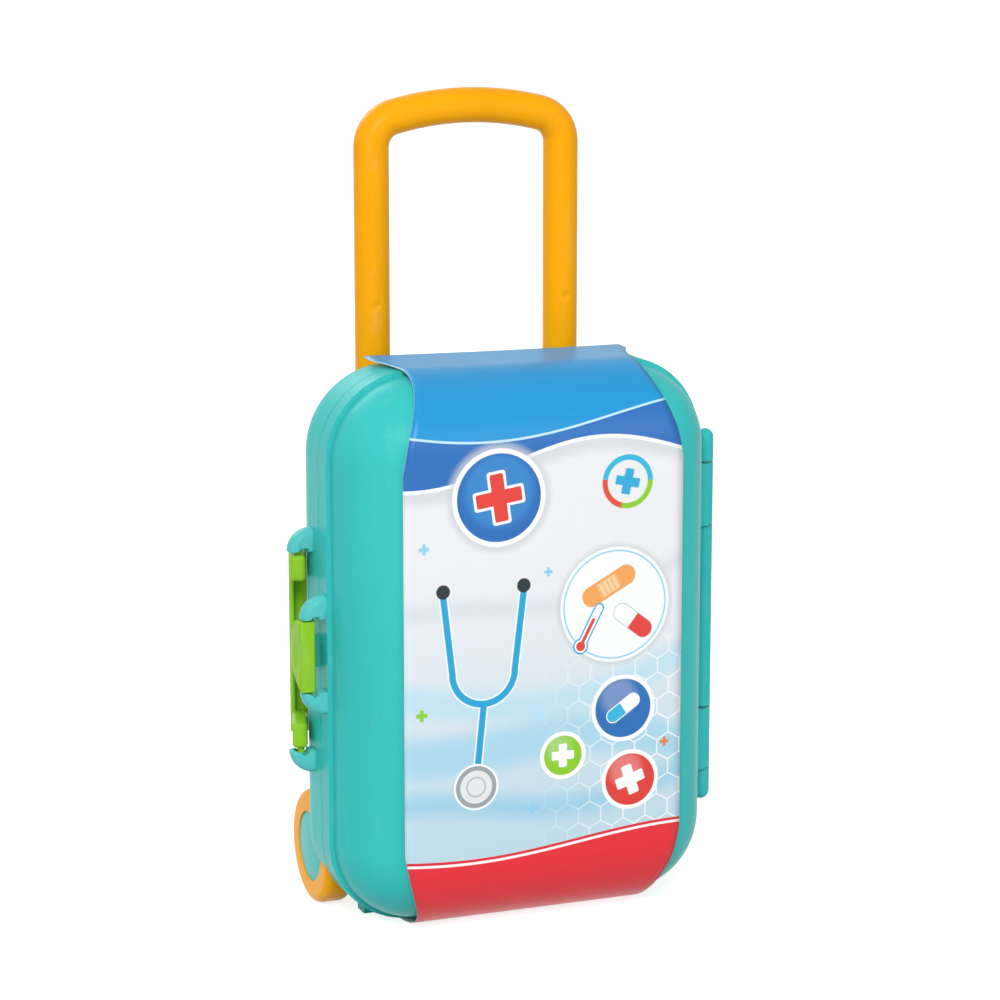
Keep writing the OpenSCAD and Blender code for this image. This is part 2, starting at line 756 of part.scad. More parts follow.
module shallow_pockets(g) {
    translate([thermo_x, 0]) capsule(2 * (thermo_r + 1.5 + g), thermometer_l + 8 + 2 * g);
    translate([glasses_x, glasses_z]) round_plate(glasses_w + 4 + 2 * g, 44 + 2 * g, 8 + g);
    translate([gauge_x, gauge_z]) circle(gauge_r + 1.5 + g);
    translate([gauge_x, (gauge_z + pump_z) / 2]) square([6 + 2 * g, gauge_z - pump_z], center = true);
    translate([steth_x, -28]) round_plate(100 + 2 * g, 116 + 2 * g, 20 + g);
    translate([pill_x, glasses_z]) capsule(pill_w + 3 + 2 * g, pill_h + 3 + 2 * g);
}

module dish_pockets(g) for (s = [-1, 1]) translate([0, s * dish_z])
    round_plate(dish_w + 2 * (dish_room + g), dish_h + 2 * (dish_room + g), dish_r + g);

module tray() color(yellow) difference() {
    union() {
        slab(tray_front, tray_back) round_plate(case_w - 2 * (wall + play), case_h - 2 * (wall + play),
            corner_r - wall - play);
        slab(tray_front, tray_back + pocket_d) deep_pockets(rib);
        slab(tray_front, tray_back + shallow) shallow_pockets(rib);
        slab(tray_front, tray_back + dish_d) dish_pockets(rib);
    }
    slab(tray_front - 1, tray_back + pocket_d - tray_t) deep_pockets(0);
    slab(tray_front - 1, tray_back + shallow - tray_t) shallow_pockets(0);
    slab(tray_front - 1, tray_back + dish_d - tray_t) dish_pockets(0);
    post_places() along_y(0, 0, post_bore_r + 0.2, tray_front - 1, tray_back + 1);
}

module tray_screws() color(steel) post_places()
    screw(tray_front - 0.05, post_bore_r - 0.05, 2.6, 1.4, tray_t + 8, -1);

dish_back = tray_back + dish_d - tray_t - 0.1;   // outer face of a dish's floor
dish_rim = 1.6;                          // width of a dish's turned rim

// open dish with a rim, lying in the tray
module dish(s) translate([0, 0, s * dish_z]) difference() {
    union() {
        slab(dish_back - dish_d - dish_t, dish_back) round_plate(dish_w, dish_h, dish_r);
        slab(dish_back - dish_d - dish_t, tray_front - 0.1)
            round_plate(dish_w + 2 * dish_rim, dish_h + 2 * dish_rim, dish_r + dish_rim);
    }
    slab(-dish_d, dish_back - dish_t) round_plate(dish_w - 2 * dish_t, dish_h - 2 * dish_t, dish_r - dish_t);
}

module dish_upper() color(lime) dish(1);
module dish_lower() color(lime) dish(-1);

kidney_bend = 60;
kidney_w = 34;
kidney_half = 38;                        // half angle of the kidney's arc
kidney_d = 13;
kidney_t = 1.5;

module kidney_outline(g) translate([0, -kidney_bend * 0.92]) {
    intersection() {
        difference() {
            circle(kidney_bend + kidney_w / 2 + g);
            circle(kidney_bend - kidney_w / 2 - g);
        }
        polygon([[0, 0], [2 * kidney_bend * sin(-kidney_half), 2 * kidney_bend * cos(kidney_half)],
            [2 * kidney_bend * sin(kidney_half), 2 * kidney_bend * cos(kidney_half)]]);
    }
    for (s = [-1, 1]) translate([kidney_bend * sin(s * kidney_half), kidney_bend * cos(kidney_half)])
        circle(kidney_w / 2 + g);
}

module kidney_dish() color(blue) translate([0, 0, dish_z]) difference() {
    slab(dish_back - dish_t - 0.1 - kidney_d, dish_back - dish_t - 0.1) kidney_outline(0);
    slab(dish_back - dish_t - kidney_d - 2, dish_back - dish_t - 0.1 - kidney_t) kidney_outline(-kidney_t);
}

// ---- scissors in the lower dish ----------------------------------------------

scissors_x = 8;
scissors_z = 4 - dish_z;                 // pivot from the case middle
scissors_layer = 2.2;                    // thickness of one half
blade_l = 44;
blade_w = 7;
finger_x = 32;                           // finger ring centre from the pivot
finger_z = 8.5;
finger_r = 8.5;
finger_hole_r = 5.6;
rivet_r = 2;
scissors_back = dish_back - dish_t - 0.2;

// one half, its blade to +X and its finger ring to -X below the axis
module scissors_outline() difference() {
    union() {
        circle(blade_w / 2);
        polygon([[0, -blade_w / 2], [blade_l * 0.7, -blade_w / 2 + 0.6], [blade_l, 0],
            [blade_l * 0.8, 1.2], [0, blade_w / 2]]);
        polygon([[0, blade_w / 2], [-finger_x, 2 - finger_z], [-finger_x, -2 - finger_z], [0, -blade_w / 2]]);
        translate([-finger_x, -finger_z]) circle(finger_r);
    }
    translate([-finger_x, -finger_z]) circle(finger_hole_r);
    circle(rivet_r + running);
}

module scissors_fixed_half() color(blue) translate([scissors_x, 0, scissors_z])
    slab(scissors_back - scissors_layer, scissors_back) mirror([0, 1]) scissors_outline();

module scissors_moving_half() color(blue) translate([scissors_x, 0, scissors_z])
    slab(scissors_back - 2 * scissors_layer - 0.1, scissors_back - scissors_layer - 0.1) scissors_outline();

module scissors_pivot() color(steel) translate([scissors_x, 0, mid_z + scissors_z]) {
    along_y(0, 0, rivet_r, scissors_back - 2 * scissors_layer - 0.2, scissors_back);
    along_y(0, 0, rivet_r + 1.4, scissors_back - 2 * scissors_layer - 1.1,
        scissors_back - 2 * scissors_layer - 0.2);
}

// ---- syringe -----------------------------------------------------------------

deep_floor = tray_back + pocket_d - tray_t;
shallow_floor = tray_back + shallow - tray_t;
flange_r = syringe_r + 1;
syringe_y = deep_floor - flange_r - 0.2;
barrel_wall = 1.6;
plunger_head = 6;                        // height of the plunger's piston
plunger_rod_r = 3;
barrel_low = mid_z + syringe_z - syringe_l / 2;
barrel_high = barrel_low + syringe_l;
piston_low = barrel_low + barrel_wall + plunger_stroke + 2;

module syringe_barrel() color(orange) translate([syringe_x, syringe_y, 0]) difference() {
    union() {
        upright(syringe_r, barrel_low, barrel_high);
        upright(flange_r, barrel_high - 2.4, barrel_high);
        upright(3, barrel_low - 12, barrel_low + 1);
    }
    upright(syringe_r - barrel_wall, barrel_low + barrel_wall, barrel_high + 1);
    upright(1, barrel_low - 13, barrel_low + barrel_wall + 1);
}

module syringe_plunger() color(yellow) translate([syringe_x, syringe_y, 0]) {
    upright(syringe_r - barrel_wall - 0.1, piston_low, piston_low + plunger_head);
    upright(plunger_rod_r, piston_low, barrel_high + plunger_stroke + 3);
    upright(syringe_r - 0.5, barrel_high + plunger_stroke + 2, barrel_high + plunger_stroke + 5);
}

// ---- small instruments -------------------------------------------------------

module thermometer() color(blue) translate([thermo_x, shallow_floor - thermo_r - 0.1, mid_z]) {
    half = thermometer_l / 2 - thermo_r;
    difference() {
        union() {
            upright(thermo_r, -half, half);
            for (s = [-1, 1]) translate([0, 0, s * half]) sphere(thermo_r);
        }
        box(-2.2, 2.2, -thermo_r - 1, -thermo_r + 0.8, -half * 0.4, half * 0.8);
    }
}

lens_r = 18.5;
frame_r = 2.2;
lens_x = 25;

module glasses() color(red) translate([glasses_x, shallow_floor - 2.4, mid_z + glasses_z]) {
    outer = glasses_w / 2 - frame_r;
    for (s = [-1, 1]) {
        rotate([90, 0, 0]) translate([s * lens_x, 0, 0]) rotate_extrude() translate([lens_r, 0]) circle(frame_r);
        along_x(0, 0, frame_r * 0.9, s > 0 ? lens_x + lens_r : -outer, s > 0 ? outer : -lens_x - lens_r);
        translate([s * outer, 0, 0]) sphere(frame_r * 1.2);
    }
    arc_tube(0, 0, -2, lens_x - lens_r + 1, frame_r * 0.9, 20, 140);
    // folded temples
    along_x(-frame_r * 2, 3, frame_r * 0.85, -outer, lens_x + 12);
    along_x(-frame_r * 2, -4, frame_r * 0.85, -lens_x - 12, outer);
    for (s = [-1, 1]) translate([s * outer, 0, 0]) box(-frame_r, frame_r, -frame_r * 2.8, 0,
        s > 0 ? -6 : -frame_r, s > 0 ? frame_r : 5);
}

module stethoscope_frame() color(lime) translate([steth_x, shallow_floor - steth_tube_r - 0.1, mid_z]) {
    open = 32;                           // half angle of the gap between the ear tips
    for (a = [90 + open, 270]) arc_tube(0, 0, steth_z, steth_ring_r, steth_tube_r, a, 180 - open);
    for (s = [-1, 1])
        translate([s * steth_ring_r * sin(open), -ear_tip, steth_z + steth_ring_r * cos(open)])
            sphere(steth_tube_r + ear_tip);
    upright(steth_tube_r, chest_z + chest_r - 1, steth_z - steth_ring_r + 1);
}

module stethoscope_chest_piece() color(card) translate([steth_x, 0, mid_z + chest_z]) {
    along_y(0, 0, chest_r - 1.05, shallow_floor - 9, shallow_floor - 0.1);
    along_y(0, 0, chest_r - 3, shallow_floor - 10.5, shallow_floor - 9);
}

gauge_d = 9;
dial_r = gauge_r - 5;
dial_sink = 1.6;

module gauge_body() color(red) translate([gauge_x, 0, mid_z + gauge_z]) difference() {
    union() {
        along_y(0, 0, gauge_r, shallow_floor - 0.1 - gauge_d, shallow_floor - 0.1);
        translate([0, shallow_floor - gauge_d / 2, 0]) upright(3, -gauge_r - 3, -gauge_r + 1);
    }
    along_y(0, 0, dial_r, shallow_floor - gauge_d - 1, shallow_floor - gauge_d + dial_sink);
}

module gauge_dial() color(card) translate([gauge_x, 0, mid_z + gauge_z])
    along_y(0, 0, dial_r - 0.2, shallow_floor - gauge_d + dial_sink - 0.9,
        shallow_floor - gauge_d + dial_sink - 0.1);

pump_top = mid_z + pump_z + pump_w / 2;

module gauge_cord() color(black) translate([gauge_x, shallow_floor - gauge_d / 2, 0])
    upright(1.3, pump_top, mid_z + gauge_z - gauge_r - 3);

pump_d = 18;
pump_dome = 3;                           // height of its round top
pump_edge = 6;                           // the round top ends this far from its sides

module pump_block() color(yellow) translate([gauge_x, 0, pump_z]) {
    slab(deep_floor - pump_d, deep_floor - 0.1) round_plate(pump_w, pump_w, pump_edge - 1);
    slab(deep_floor - pump_d - pump_dome, deep_floor - pump_d) circle(pump_w / 2 - pump_edge);
}

module pill_box() color(lime) translate([pill_x, 0, glasses_z]) {
    slab(shallow_floor - 10, shallow_floor - 0.1) capsule(pill_w, pill_h);
    slab(shallow_floor - 11.5, shallow_floor - 10) capsule(pill_w - 6, pill_h - 6);
}

// ---- inside the lid ------------------------------------------------------------

basket_end = flat_x;
basket_x = basket_end - 54;              // its open side
basket_z1 = flat_z;                      // above the case middle
basket_z0 = basket_z1 - 106;
basket_d = 24;
basket_t = 1.8;
slot_w = 6;
basket_back = lid_inner_y + 0.1;
head_r = 8.8;                            // radius of the hammer's head
shaft_y = basket_back + head_r + 0.2;
hammer_z = basket_z1 - 27;
reflector_z = basket_z1 - 78;
hammer_head = 40;                        // length of the hammer's head
collar_l = 22;                           // its two soft ends
collar_r = 7.5;
reflector_l = 104;
reflector_r = 9;

module lid_basket() color(lime) translate([0, 0, mid_z]) difference() {
    box(basket_x, basket_end, basket_back, basket_back + basket_d, basket_z0, basket_z1);
    box(basket_x - 1, basket_end - basket_t, basket_back + basket_t, basket_back + basket_d - basket_t,
        basket_z0 + basket_t, basket_z1 - basket_t);
    for (z = [basket_z0 + 2 * slot_w : 2 * slot_w : basket_z1 - 2 * slot_w])
        box(basket_x + 10, basket_end - 10, basket_back + basket_d - basket_t - 1,
            basket_back + basket_d + 1, z - slot_w / 2, z + slot_w / 2);
}

shaft_foot = basket_end - basket_t - 0.1;

module hammer() color(yellow) translate([0, shaft_y, mid_z + hammer_z]) {
    head_x = shaft_foot - hammer_l;
    along_x(0, 0, 4.8, head_x, shaft_foot);
    along_x(0, 0, 5.6, basket_x - 24, shaft_foot);
    translate([head_x, 0, 0]) {
        cylinder(r = head_r, h = hammer_head, center = true);
        for (s = [-1, 1]) translate([0, 0, s * (hammer_head / 2 - 7)])
            cylinder(r = collar_r, h = collar_l, center = true);
    }
}

module reflector() color(orange) translate([0, shaft_y, mid_z + reflector_z]) {
    head_x = shaft_foot - reflector_l;
    along_x(0, 0, 4.6, head_x, shaft_foot);
    along_x(0, 0, 5.4, basket_x - 20, shaft_foot);
    translate([head_x, 0, 0]) difference() {
        sphere(reflector_r);
        box(-2 * reflector_r, 2 * reflector_r, reflector_r - 4, 2 * reflector_r,
            -2 * reflector_r, 2 * reflector_r);
    }
}

xray_w = 100;
xray_x0 = -flat_x;
xray_x1 = xray_x0 + xray_w;
xray_z0 = -flat_z + 3.5;
xray_z1 = xray_z0 + xray_w;
xray_t = 2.6;
xray_rim = 9;
xray_tab = 16;                           // wider rim on the hook side

module xray_frame() color(lime) translate([0, 0, mid_z]) difference() {
    box(xray_x0, xray_x1, basket_back, basket_back + xray_t, xray_z0, xray_z1);
    box(xray_x0 + xray_tab, xray_x1 - xray_rim, basket_back + 1, basket_back + xray_t + 1,
        xray_z0 + xray_rim, xray_z1 - xray_rim);
    for (k = [1:3]) box(xray_x0 + 5, xray_x0 + 11, basket_back - 1, basket_back + xray_t + 1,
        xray_z0 + k * (xray_z1 - xray_z0) / 4 - 5, xray_z0 + k * (xray_z1 - xray_z0) / 4 + 5);
}

module xray_film() color(black) translate([0, 0, mid_z])
    box(xray_x0 + xray_tab + 0.3, xray_x1 - xray_rim - 0.3, basket_back + 1.05, basket_back + 1.55,
        xray_z0 + xray_rim + 0.3, xray_z1 - xray_rim - 0.3);

base_shell();
lid_shell();
hinge_pins();
latch_ears();
latch();
carry_ears();
carry_handle();
telescopic_handle();
handle_stops();
handle_guides();
rear_cover();
rear_cover_screws();
wheel_left();
wheel_right();
hub_cap_left();
hub_cap_right();
wheel_axles();
front_label();
card_sleeve();
tray();
tray_screws();
dish_upper();
dish_lower();
kidney_dish();
scissors_fixed_half();
scissors_moving_half();
scissors_pivot();
syringe_barrel();
syringe_plunger();
thermometer();
glasses();
stethoscope_frame();
stethoscope_chest_piece();
gauge_body();
gauge_dial();
gauge_cord();
pump_block();
pill_box();
lid_basket();
hammer();
reflector();
xray_frame();
xray_film();
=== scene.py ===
# %% [markdown]
# # A toy doctor case on wheels
#
# The object is a child's trolley case, moulded in teal plastic, with a yellow
# pull handle, lime latch and carry handle, and a printed card sleeve round its
# lid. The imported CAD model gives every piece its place. This script dresses it:
# surfaces worked out with numpy where the CAD solid is too plain, and a
# node-based finish on everything.

import math

import bpy
import numpy as np
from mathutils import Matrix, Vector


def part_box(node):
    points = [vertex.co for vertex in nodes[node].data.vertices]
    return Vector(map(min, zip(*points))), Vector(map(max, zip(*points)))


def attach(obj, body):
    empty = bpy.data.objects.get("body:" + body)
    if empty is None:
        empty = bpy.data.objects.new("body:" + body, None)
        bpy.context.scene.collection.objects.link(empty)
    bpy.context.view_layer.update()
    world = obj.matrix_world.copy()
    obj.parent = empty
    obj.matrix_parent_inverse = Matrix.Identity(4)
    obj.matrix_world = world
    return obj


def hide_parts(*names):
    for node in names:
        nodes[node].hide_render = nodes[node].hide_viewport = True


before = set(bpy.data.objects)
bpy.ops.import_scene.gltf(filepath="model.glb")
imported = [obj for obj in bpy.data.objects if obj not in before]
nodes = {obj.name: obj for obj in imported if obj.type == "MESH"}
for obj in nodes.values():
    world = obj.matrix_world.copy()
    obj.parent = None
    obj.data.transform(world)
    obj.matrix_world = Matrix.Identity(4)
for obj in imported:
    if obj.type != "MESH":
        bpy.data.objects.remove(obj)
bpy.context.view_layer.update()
scene = bpy.context.scene
scene.view_settings.view_transform = "Standard"
MM = 0.001

# %% [markdown]
# ## The camera
#
# The photograph was taken from the left and a little above, with a long lens.
# Its place was worked out from the vanishing lines of the case: 21.6 degrees to
# the left, 11.4 degrees down, a lens of about 115 mm on a 36 mm sensor.

# %% Camera
VIEW_LEFT = math.radians(21.63)
VIEW_DOWN = math.radians(11.41)

camera_data = bpy.data.cameras.new("camera")
camera_data.lens = 114.66
camera_data.sensor_width = 36.0
camera_data.clip_start, camera_data.clip_end = 0.05, 50.0
camera = bpy.data.objects.new("camera", camera_data)
camera.location = (-0.7174, -1.7957, 0.6486)
camera.rotation_euler = (math.pi / 2 - VIEW_DOWN, 0.0, -VIEW_LEFT)
scene.collection.objects.link(camera)
scene.camera = camera
print("camera at", tuple(camera.location))

# %% [markdown]
# ## Shader maths as plain expressions
#
# A finish is a small program. Written with node calls it is long and hard to
# read, so `Value` wraps a socket and overloads the usual operators: an
# expression such as `1 - mask * 0.3` then adds the Math nodes by itself.
# `Finish` owns one material and makes any other node from its type, its
# settings and the values of its sockets.


# %% Value
class Value:
    """A number that varies over a surface: one socket of a material's nodes."""

    def __init__(self, finish, socket):
        self.finish, self.socket = finish, socket

    def math(self, operation, other=None):
        inputs = {0: self} if other is None else {0: self, 1: other}
        return self.finish.node("ShaderNodeMath", dict(operation=operation), inputs)

    def __add__(self, other):
        return self.math("ADD", other)

    def __sub__(self, other):
        return self.math("SUBTRACT", other)

    def __rsub__(self, other):
        return self.finish.number("SUBTRACT", other, self)

    def __mul__(self, other):
        return self.math("MULTIPLY", other)

    def __truediv__(self, other):
        return self.math("DIVIDE", other)

    def __neg__(self):
        return self.math("MULTIPLY", -1.0)

    def __abs__(self):
        return self.math("ABSOLUTE")

    __radd__ = __add__
    __rmul__ = __mul__

    def least(self, other):
        return self.math("MINIMUM", other)

    def most(self, other):
        return self.math("MAXIMUM", other)

    def sine(self):
        return self.math("SINE")

    def root(self):
        return self.math("SQRT")

    def ramp(self, low, high):
        """0 below low, 1 above high, and a smooth step between them."""
        return self.finish.node(
            "ShaderNodeMapRange",
            dict(interpolation_type="SMOOTHSTEP", clamp=True),
            {"Value": self, "From Min": low, "From Max": high, "To Min": 0.0, "To Max": 1.0},
        )


# %% Finish
class Finish:
    """One material, and the calls that add nodes to it."""

    def __init__(self, name):
        self.material = bpy.data.materials.new(name)
        self.material.use_nodes = True
        self.tree = self.material.node_tree
        self.shader = self.tree.nodes["Principled BSDF"]
        self.places = {}

    def node(self, kind, settings=None, values=None, output=0):
        made = self.tree.nodes.new(kind)
        for key, setting in (settings or {}).items():
            setattr(made, key, setting)
        for key, value in (values or {}).items():
            self.feed(made.inputs[key], value)
        return Value(self, made.outputs[output])

    def feed(self, socket, value):
        if isinstance(value, Value):
            self.tree.links.new(value.socket, socket)
        else:
            socket.default_value = value

    def number(self, operation, first, second):
        return self.node("ShaderNodeMath", dict(operation=operation), {0: first, 1: second})

    def place(self, kind="Object"):
        """Coordinates on the piece: Object, in metres, or its UV map."""
        if kind not in self.places:
            coords = self.tree.nodes.new("ShaderNodeTexCoord")
            self.places[kind] = Value(self, coords.outputs[kind])
        return self.places[kind]

    def axes(self, kind="Object"):
        split = self.tree.nodes.new("ShaderNodeSeparateXYZ")
        self.tree.links.new(self.place(kind).socket, split.inputs[0])
        return [Value(self, out) for out in split.outputs]

    def noise(self, scale, detail=2.0, roughness=0.5, stretch=(1, 1, 1)):
        """Soft noise of a given number of lumps to the metre, from 0 to 1."""
        spot = self.node("ShaderNodeMapping", None, {"Vector": self.place(), "Scale": stretch})
        return self.node(
            "ShaderNodeTexNoise",
            None,
            {"Vector": spot, "Scale": scale, "Detail": detail, "Roughness": roughness},
        )

    def mix(self, share, first, second):
        """Colour mixed from first to second as share goes from 0 to 1."""
        return self.node(
            "ShaderNodeMix", dict(data_type="RGBA"), {0: share, 6: first, 7: second}, output=2
        )

    def bump(self, height, depth):
        """Relief of a height from 0 to 1 that stands for depth metres."""
        relief = {"Strength": 1.0, "Distance": depth, "Height": height}
        self.feed(self.shader.inputs["Normal"], self.node("ShaderNodeBump", None, relief))

    def set(self, **sockets):
        for key, value in sockets.items():
            self.feed(self.shader.inputs[key.replace("_", " ")], value)
        return self


# %% Colours
def colour(hex_code, lift=1.0):
    """Linear RGBA from a screen colour such as 'fbab16'."""
    screen = np.array([int(hex_code[i : i + 2], 16) for i in (0, 2, 4)]) / 255.0
    linear = np.where(screen <= 0.04045, screen / 12.92, ((screen + 0.055) / 1.055) ** 2.4)
    return (*np.clip(linear * lift, 0, 1), 1.0)


print("teal in linear light:", [round(float(level), 3) for level in colour("3cc1be")])

# %% [markdown]
# ## Moulded plastic
#
# Nearly every piece is injection moulded. Such plastic has one colour all
# through, a satin skin that is a little uneven, faint flow marks drawn out
# along the mould, and a very fine grain. A flat colour would look like paint,
# so the colour drifts by a few per cent, the roughness breaks up at two scales,
# and a small bump gives the grain.


# %% Plastic
def moulded(name, hex_code, rough=0.32, grain=0.00002, drift=0.05):
    """Plastic: colour drift from large noise, roughness from fine noise, grain as bump."""
    finish = Finish(name)
    broad = finish.noise(9.0, 3.0, 0.55, stretch=(1, 1, 0.25))
    fine = finish.noise(420.0, 2.0, 0.6)
    scuff = finish.noise(60.0, 4.0, 0.7, stretch=(1, 1, 0.35)).ramp(0.56, 0.78)
    darker, lighter = colour(hex_code, 1 - drift), colour(hex_code, 1 + drift)
    tint = finish.mix(broad.ramp(0.3, 0.7), darker, lighter)
    pale = finish.mix(scuff * 0.05, tint, colour("ffffff"))
    finish.set(Base_Color=pale, Roughness=rough + (fine - 0.5) * 0.06 + scuff * 0.07, IOR=1.47)
    # satin plastic mirrors little of the white room, or its sides would look washed out
    finish.set(Specular_IOR_Level=0.08)
    finish.bump(fine + broad * 0.6, grain)
    return finish.material


teal = moulded("teal_plastic", "3cc1be")
teal_light = moulded("teal_plastic_fittings", "58c4c3")
yellow = moulded("yellow_plastic", "faa90c", rough=0.3)
lime = moulded("lime_plastic", "8ec62c")
red = moulded("red_plastic", "dd3c2a")
orange = moulded("orange_plastic", "f07e22")
blue = moulded("blue_plastic", "2f9fd8")
white = moulded("white_plastic", "eef0ee", drift=0.02)
film = moulded("film", "1c2126", rough=0.12, grain=0.000004)
print("plastics:", len(bpy.data.materials))

# %% [markdown]
# ## Steel and soft tube
#
# The hinge pins, axles and screws are steel, and turning leaves fine rings on
# it that break up the shine. The gauge's tube is soft and nearly matt. Each of
# the two takes its look from one noise, which drives colour, roughness and bump
# together, as the same marks do on the real thing.


# %% Steel and rubber
def brushed(name, hex_code):
    """Steel with fine turning marks: noise stretched into rings drives roughness and bump."""
    finish = Finish(name)
    marks = finish.noise(900.0, 3.0, 0.6, stretch=(1, 1, 0.06))
    finish.set(Base_Color=finish.mix(marks, colour(hex_code, 0.86), colour(hex_code)), Metallic=1.0)
    finish.set(Roughness=0.26 + marks * 0.16)
    finish.bump(marks, 0.000008)
    return finish.material


def soft_rubber(name, hex_code):
    """Matt dark tube: coarse roughness and a slight grain."""
    finish = Finish(name)
    grain = finish.noise(1500.0, 2.0, 0.6)
    finish.set(Base_Color=finish.mix(grain, colour(hex_code, 0.8), colour(hex_code, 1.2)))
    finish.set(Roughness=0.62 + grain * 0.12)
    finish.bump(grain, 0.00003)
    return finish.material


steel = brushed("steel", "c2c5c8")
rubber = soft_rubber("soft_tube", "2a2c2e")
print("finishes so far:", [material.name for material in bpy.data.materials])

# %% [markdown]
# ## Surfaces from arrays
#
# Every new piece is a grid of points, computed as whole arrays. `skin` turns
# such a grid into a mesh: it joins the columns where the shape closes on
# itself, and shuts the open ends where a pole or a cap is wanted.


# %% Skin
def skin(name, points, body, material, around=False, caps=False, uv=None):
    """Mesh of a grid of points (rows, columns, 3): faces join neighbours, around wraps the
    columns, and caps closes both ends: with a fan to their middle, or, where it is "flat",
    with one polygon, as an end with a concave outline needs."""
    rows, columns = points.shape[:2]
    if caps:
        # the sum of the faces' volumes about the middle is below 0 where the faces point inwards
        a = points - points.mean((0, 1))
        b, d = np.roll(a, -1, 1), a[1:]
        c = np.roll(d, -1, 1)
        turned_in = (a[:-1] * (np.cross(b[:-1], c) + np.cross(c, d))).sum() < 0
        points = points[:, ::-1] if turned_in else points
    c = np.arange(columns if around else columns - 1)
    r, c = np.meshgrid(np.arange(rows - 1), c, indexing="ij")
    r2, c2 = r + 1, (c + 1) % columns
    faces = np.stack([r * columns + c, r * columns + c2, r2 * columns + c2, r2 * columns + c], -1)
    faces = faces.reshape(-1, 4)
    vertices = points.reshape(-1, 3)
    corners, sizes = faces.reshape(-1), np.full(len(faces), 4)
    if caps == "flat":
        last = (rows - 1) * columns + np.arange(columns)
        corners = np.concatenate([corners, np.arange(columns)[::-1], last])
        sizes = np.concatenate([sizes, [columns, columns]])
    elif caps:
        fans = []
        for row in (0, rows - 1):
            ring = row * columns + np.arange(columns)
            middle = np.full(columns, len(vertices))
            vertices = np.vstack([vertices, vertices[ring].mean(0)])
            a, b = ring, np.roll(ring, -1)
            fans.append(np.stack([b, a, middle] if row == 0 else [a, b, middle], -1))
        fans = np.vstack(fans)
        corners = np.concatenate([corners, fans.reshape(-1)])
        sizes = np.concatenate([sizes, np.full(len(fans), 3)])
    mesh = bpy.data.meshes.new(name)
    mesh.vertices.add(len(vertices))
    mesh.vertices.foreach_set("co", vertices.astype(np.float32).reshape(-1))
    mesh.loops.add(len(corners))
    mesh.loops.foreach_set("vertex_index", corners.astype(np.int32))
    mesh.polygons.add(len(sizes))
    starts = np.concatenate([[0], np.cumsum(sizes)[:-1]])
    mesh.polygons.foreach_set("loop_start", starts.astype(np.int32))
    mesh.polygons.foreach_set("loop_total", sizes.astype(np.int32))
    mesh.polygons.foreach_set("use_smooth", np.full(len(sizes), True))
    if uv is not None:
        layer = mesh.uv_layers.new(name="flat")
        layer.data.foreach_set("uv", uv.reshape(-1, 2)[corners].astype(np.float32).reshape(-1))
    mesh.update(calc_edges=True)
    mesh.validate()
    piece = bpy.data.objects.new(name, mesh)
    scene.collection.objects.link(piece)
    mesh.materials.append(material)
    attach(piece, body)
    return piece


# %% [markdown]
# ## Finishes on the CAD pieces
#
# Where the CAD solid already has the real shape it stays, and only takes its
# finish. The assignment goes by node name. It takes in the pieces that later
# cells replace or print on, so that the case is dressed after any cell.

# %% Assign finishes
finishes = dict(
    base_shell=teal, lid_shell=teal, latch_ears=teal_light, carry_ears=teal_light,
    hinge_pins=steel, latch=lime, carry_handle=lime,
    telescopic_handle=yellow, handle_stops=lime, handle_guides=teal_light, rear_cover=teal,
    rear_cover_screws=steel, wheel_left=yellow, wheel_right=yellow, hub_cap_left=teal_light,
    hub_cap_right=teal_light, wheel_axles=steel, front_label=white, card_sleeve=white,
    tray=yellow, tray_screws=steel, dish_upper=lime, dish_lower=lime, kidney_dish=blue,
    scissors_fixed_half=blue, scissors_moving_half=blue, scissors_pivot=steel,
    syringe_barrel=orange, syringe_plunger=yellow, thermometer=blue, glasses=red,
    stethoscope_frame=lime, stethoscope_chest_piece=white, gauge_body=red, gauge_dial=white,
    gauge_cord=rubber, pump_block=orange, pill_box=lime, lid_basket=lime, hammer=yellow,
    reflector=orange, xray_frame=lime, xray_film=film,
)
for name, material in finishes.items():
    piece = nodes[name]
    piece.data.materials.clear()
    piece.data.materials.append(material)
print("finished:", len(finishes))

# %% [markdown]
# ## The card sleeve
#
# A strip of coated card runs over the top of the case, down its front and under
# its bottom, with waists cut where it bends. One bent sheet could be unfolded,
# so the surface is a path in the side plane, carried across a width that
# changes along it. The flat coordinates of the card go into its UV map, and the
# print is drawn in those, so that it bends with the card.

# %% Sleeve surface
BEND_R = 46.55          # middle of the card round the case's soft edge
BEND_Y = -14.0          # the bends are centred here, behind the front
BEND_LOW, BEND_HIGH = 46.8, 299.8
FLAP_END = 25.0
CARD_T = 0.5
FULL_HALF, WAIST_HALF, FLAP_HALF = 91.0, 75.0, 85.0
NOTCH_R, NOTCH_AT = 78.0, math.radians(75)
FLAT_SPAN = 600.0       # millimetres of card to one unit of its UV map
SPRING_LENGTH, SPRING_RISE = 62.0, 3.2


def sleeve_path(s):
    """Side view of the card: s runs from 0 at the middle of the front, up over the top and on
    to the flap's end for s > 0, and mirrored downwards for s < 0. Returns y, z in mm."""
    rise = (BEND_HIGH - BEND_LOW) / 2
    turn = np.clip((np.abs(s) - rise) / BEND_R, 0, math.pi / 2)
    flap = np.clip(np.abs(s) - rise - BEND_R * math.pi / 2, 0, None)
    y = BEND_Y - BEND_R * np.cos(turn) + flap
    z = np.minimum(np.abs(s), rise) + BEND_R * np.sin(turn)
    return y, (BEND_LOW + BEND_HIGH) / 2 + np.sign(s) * z


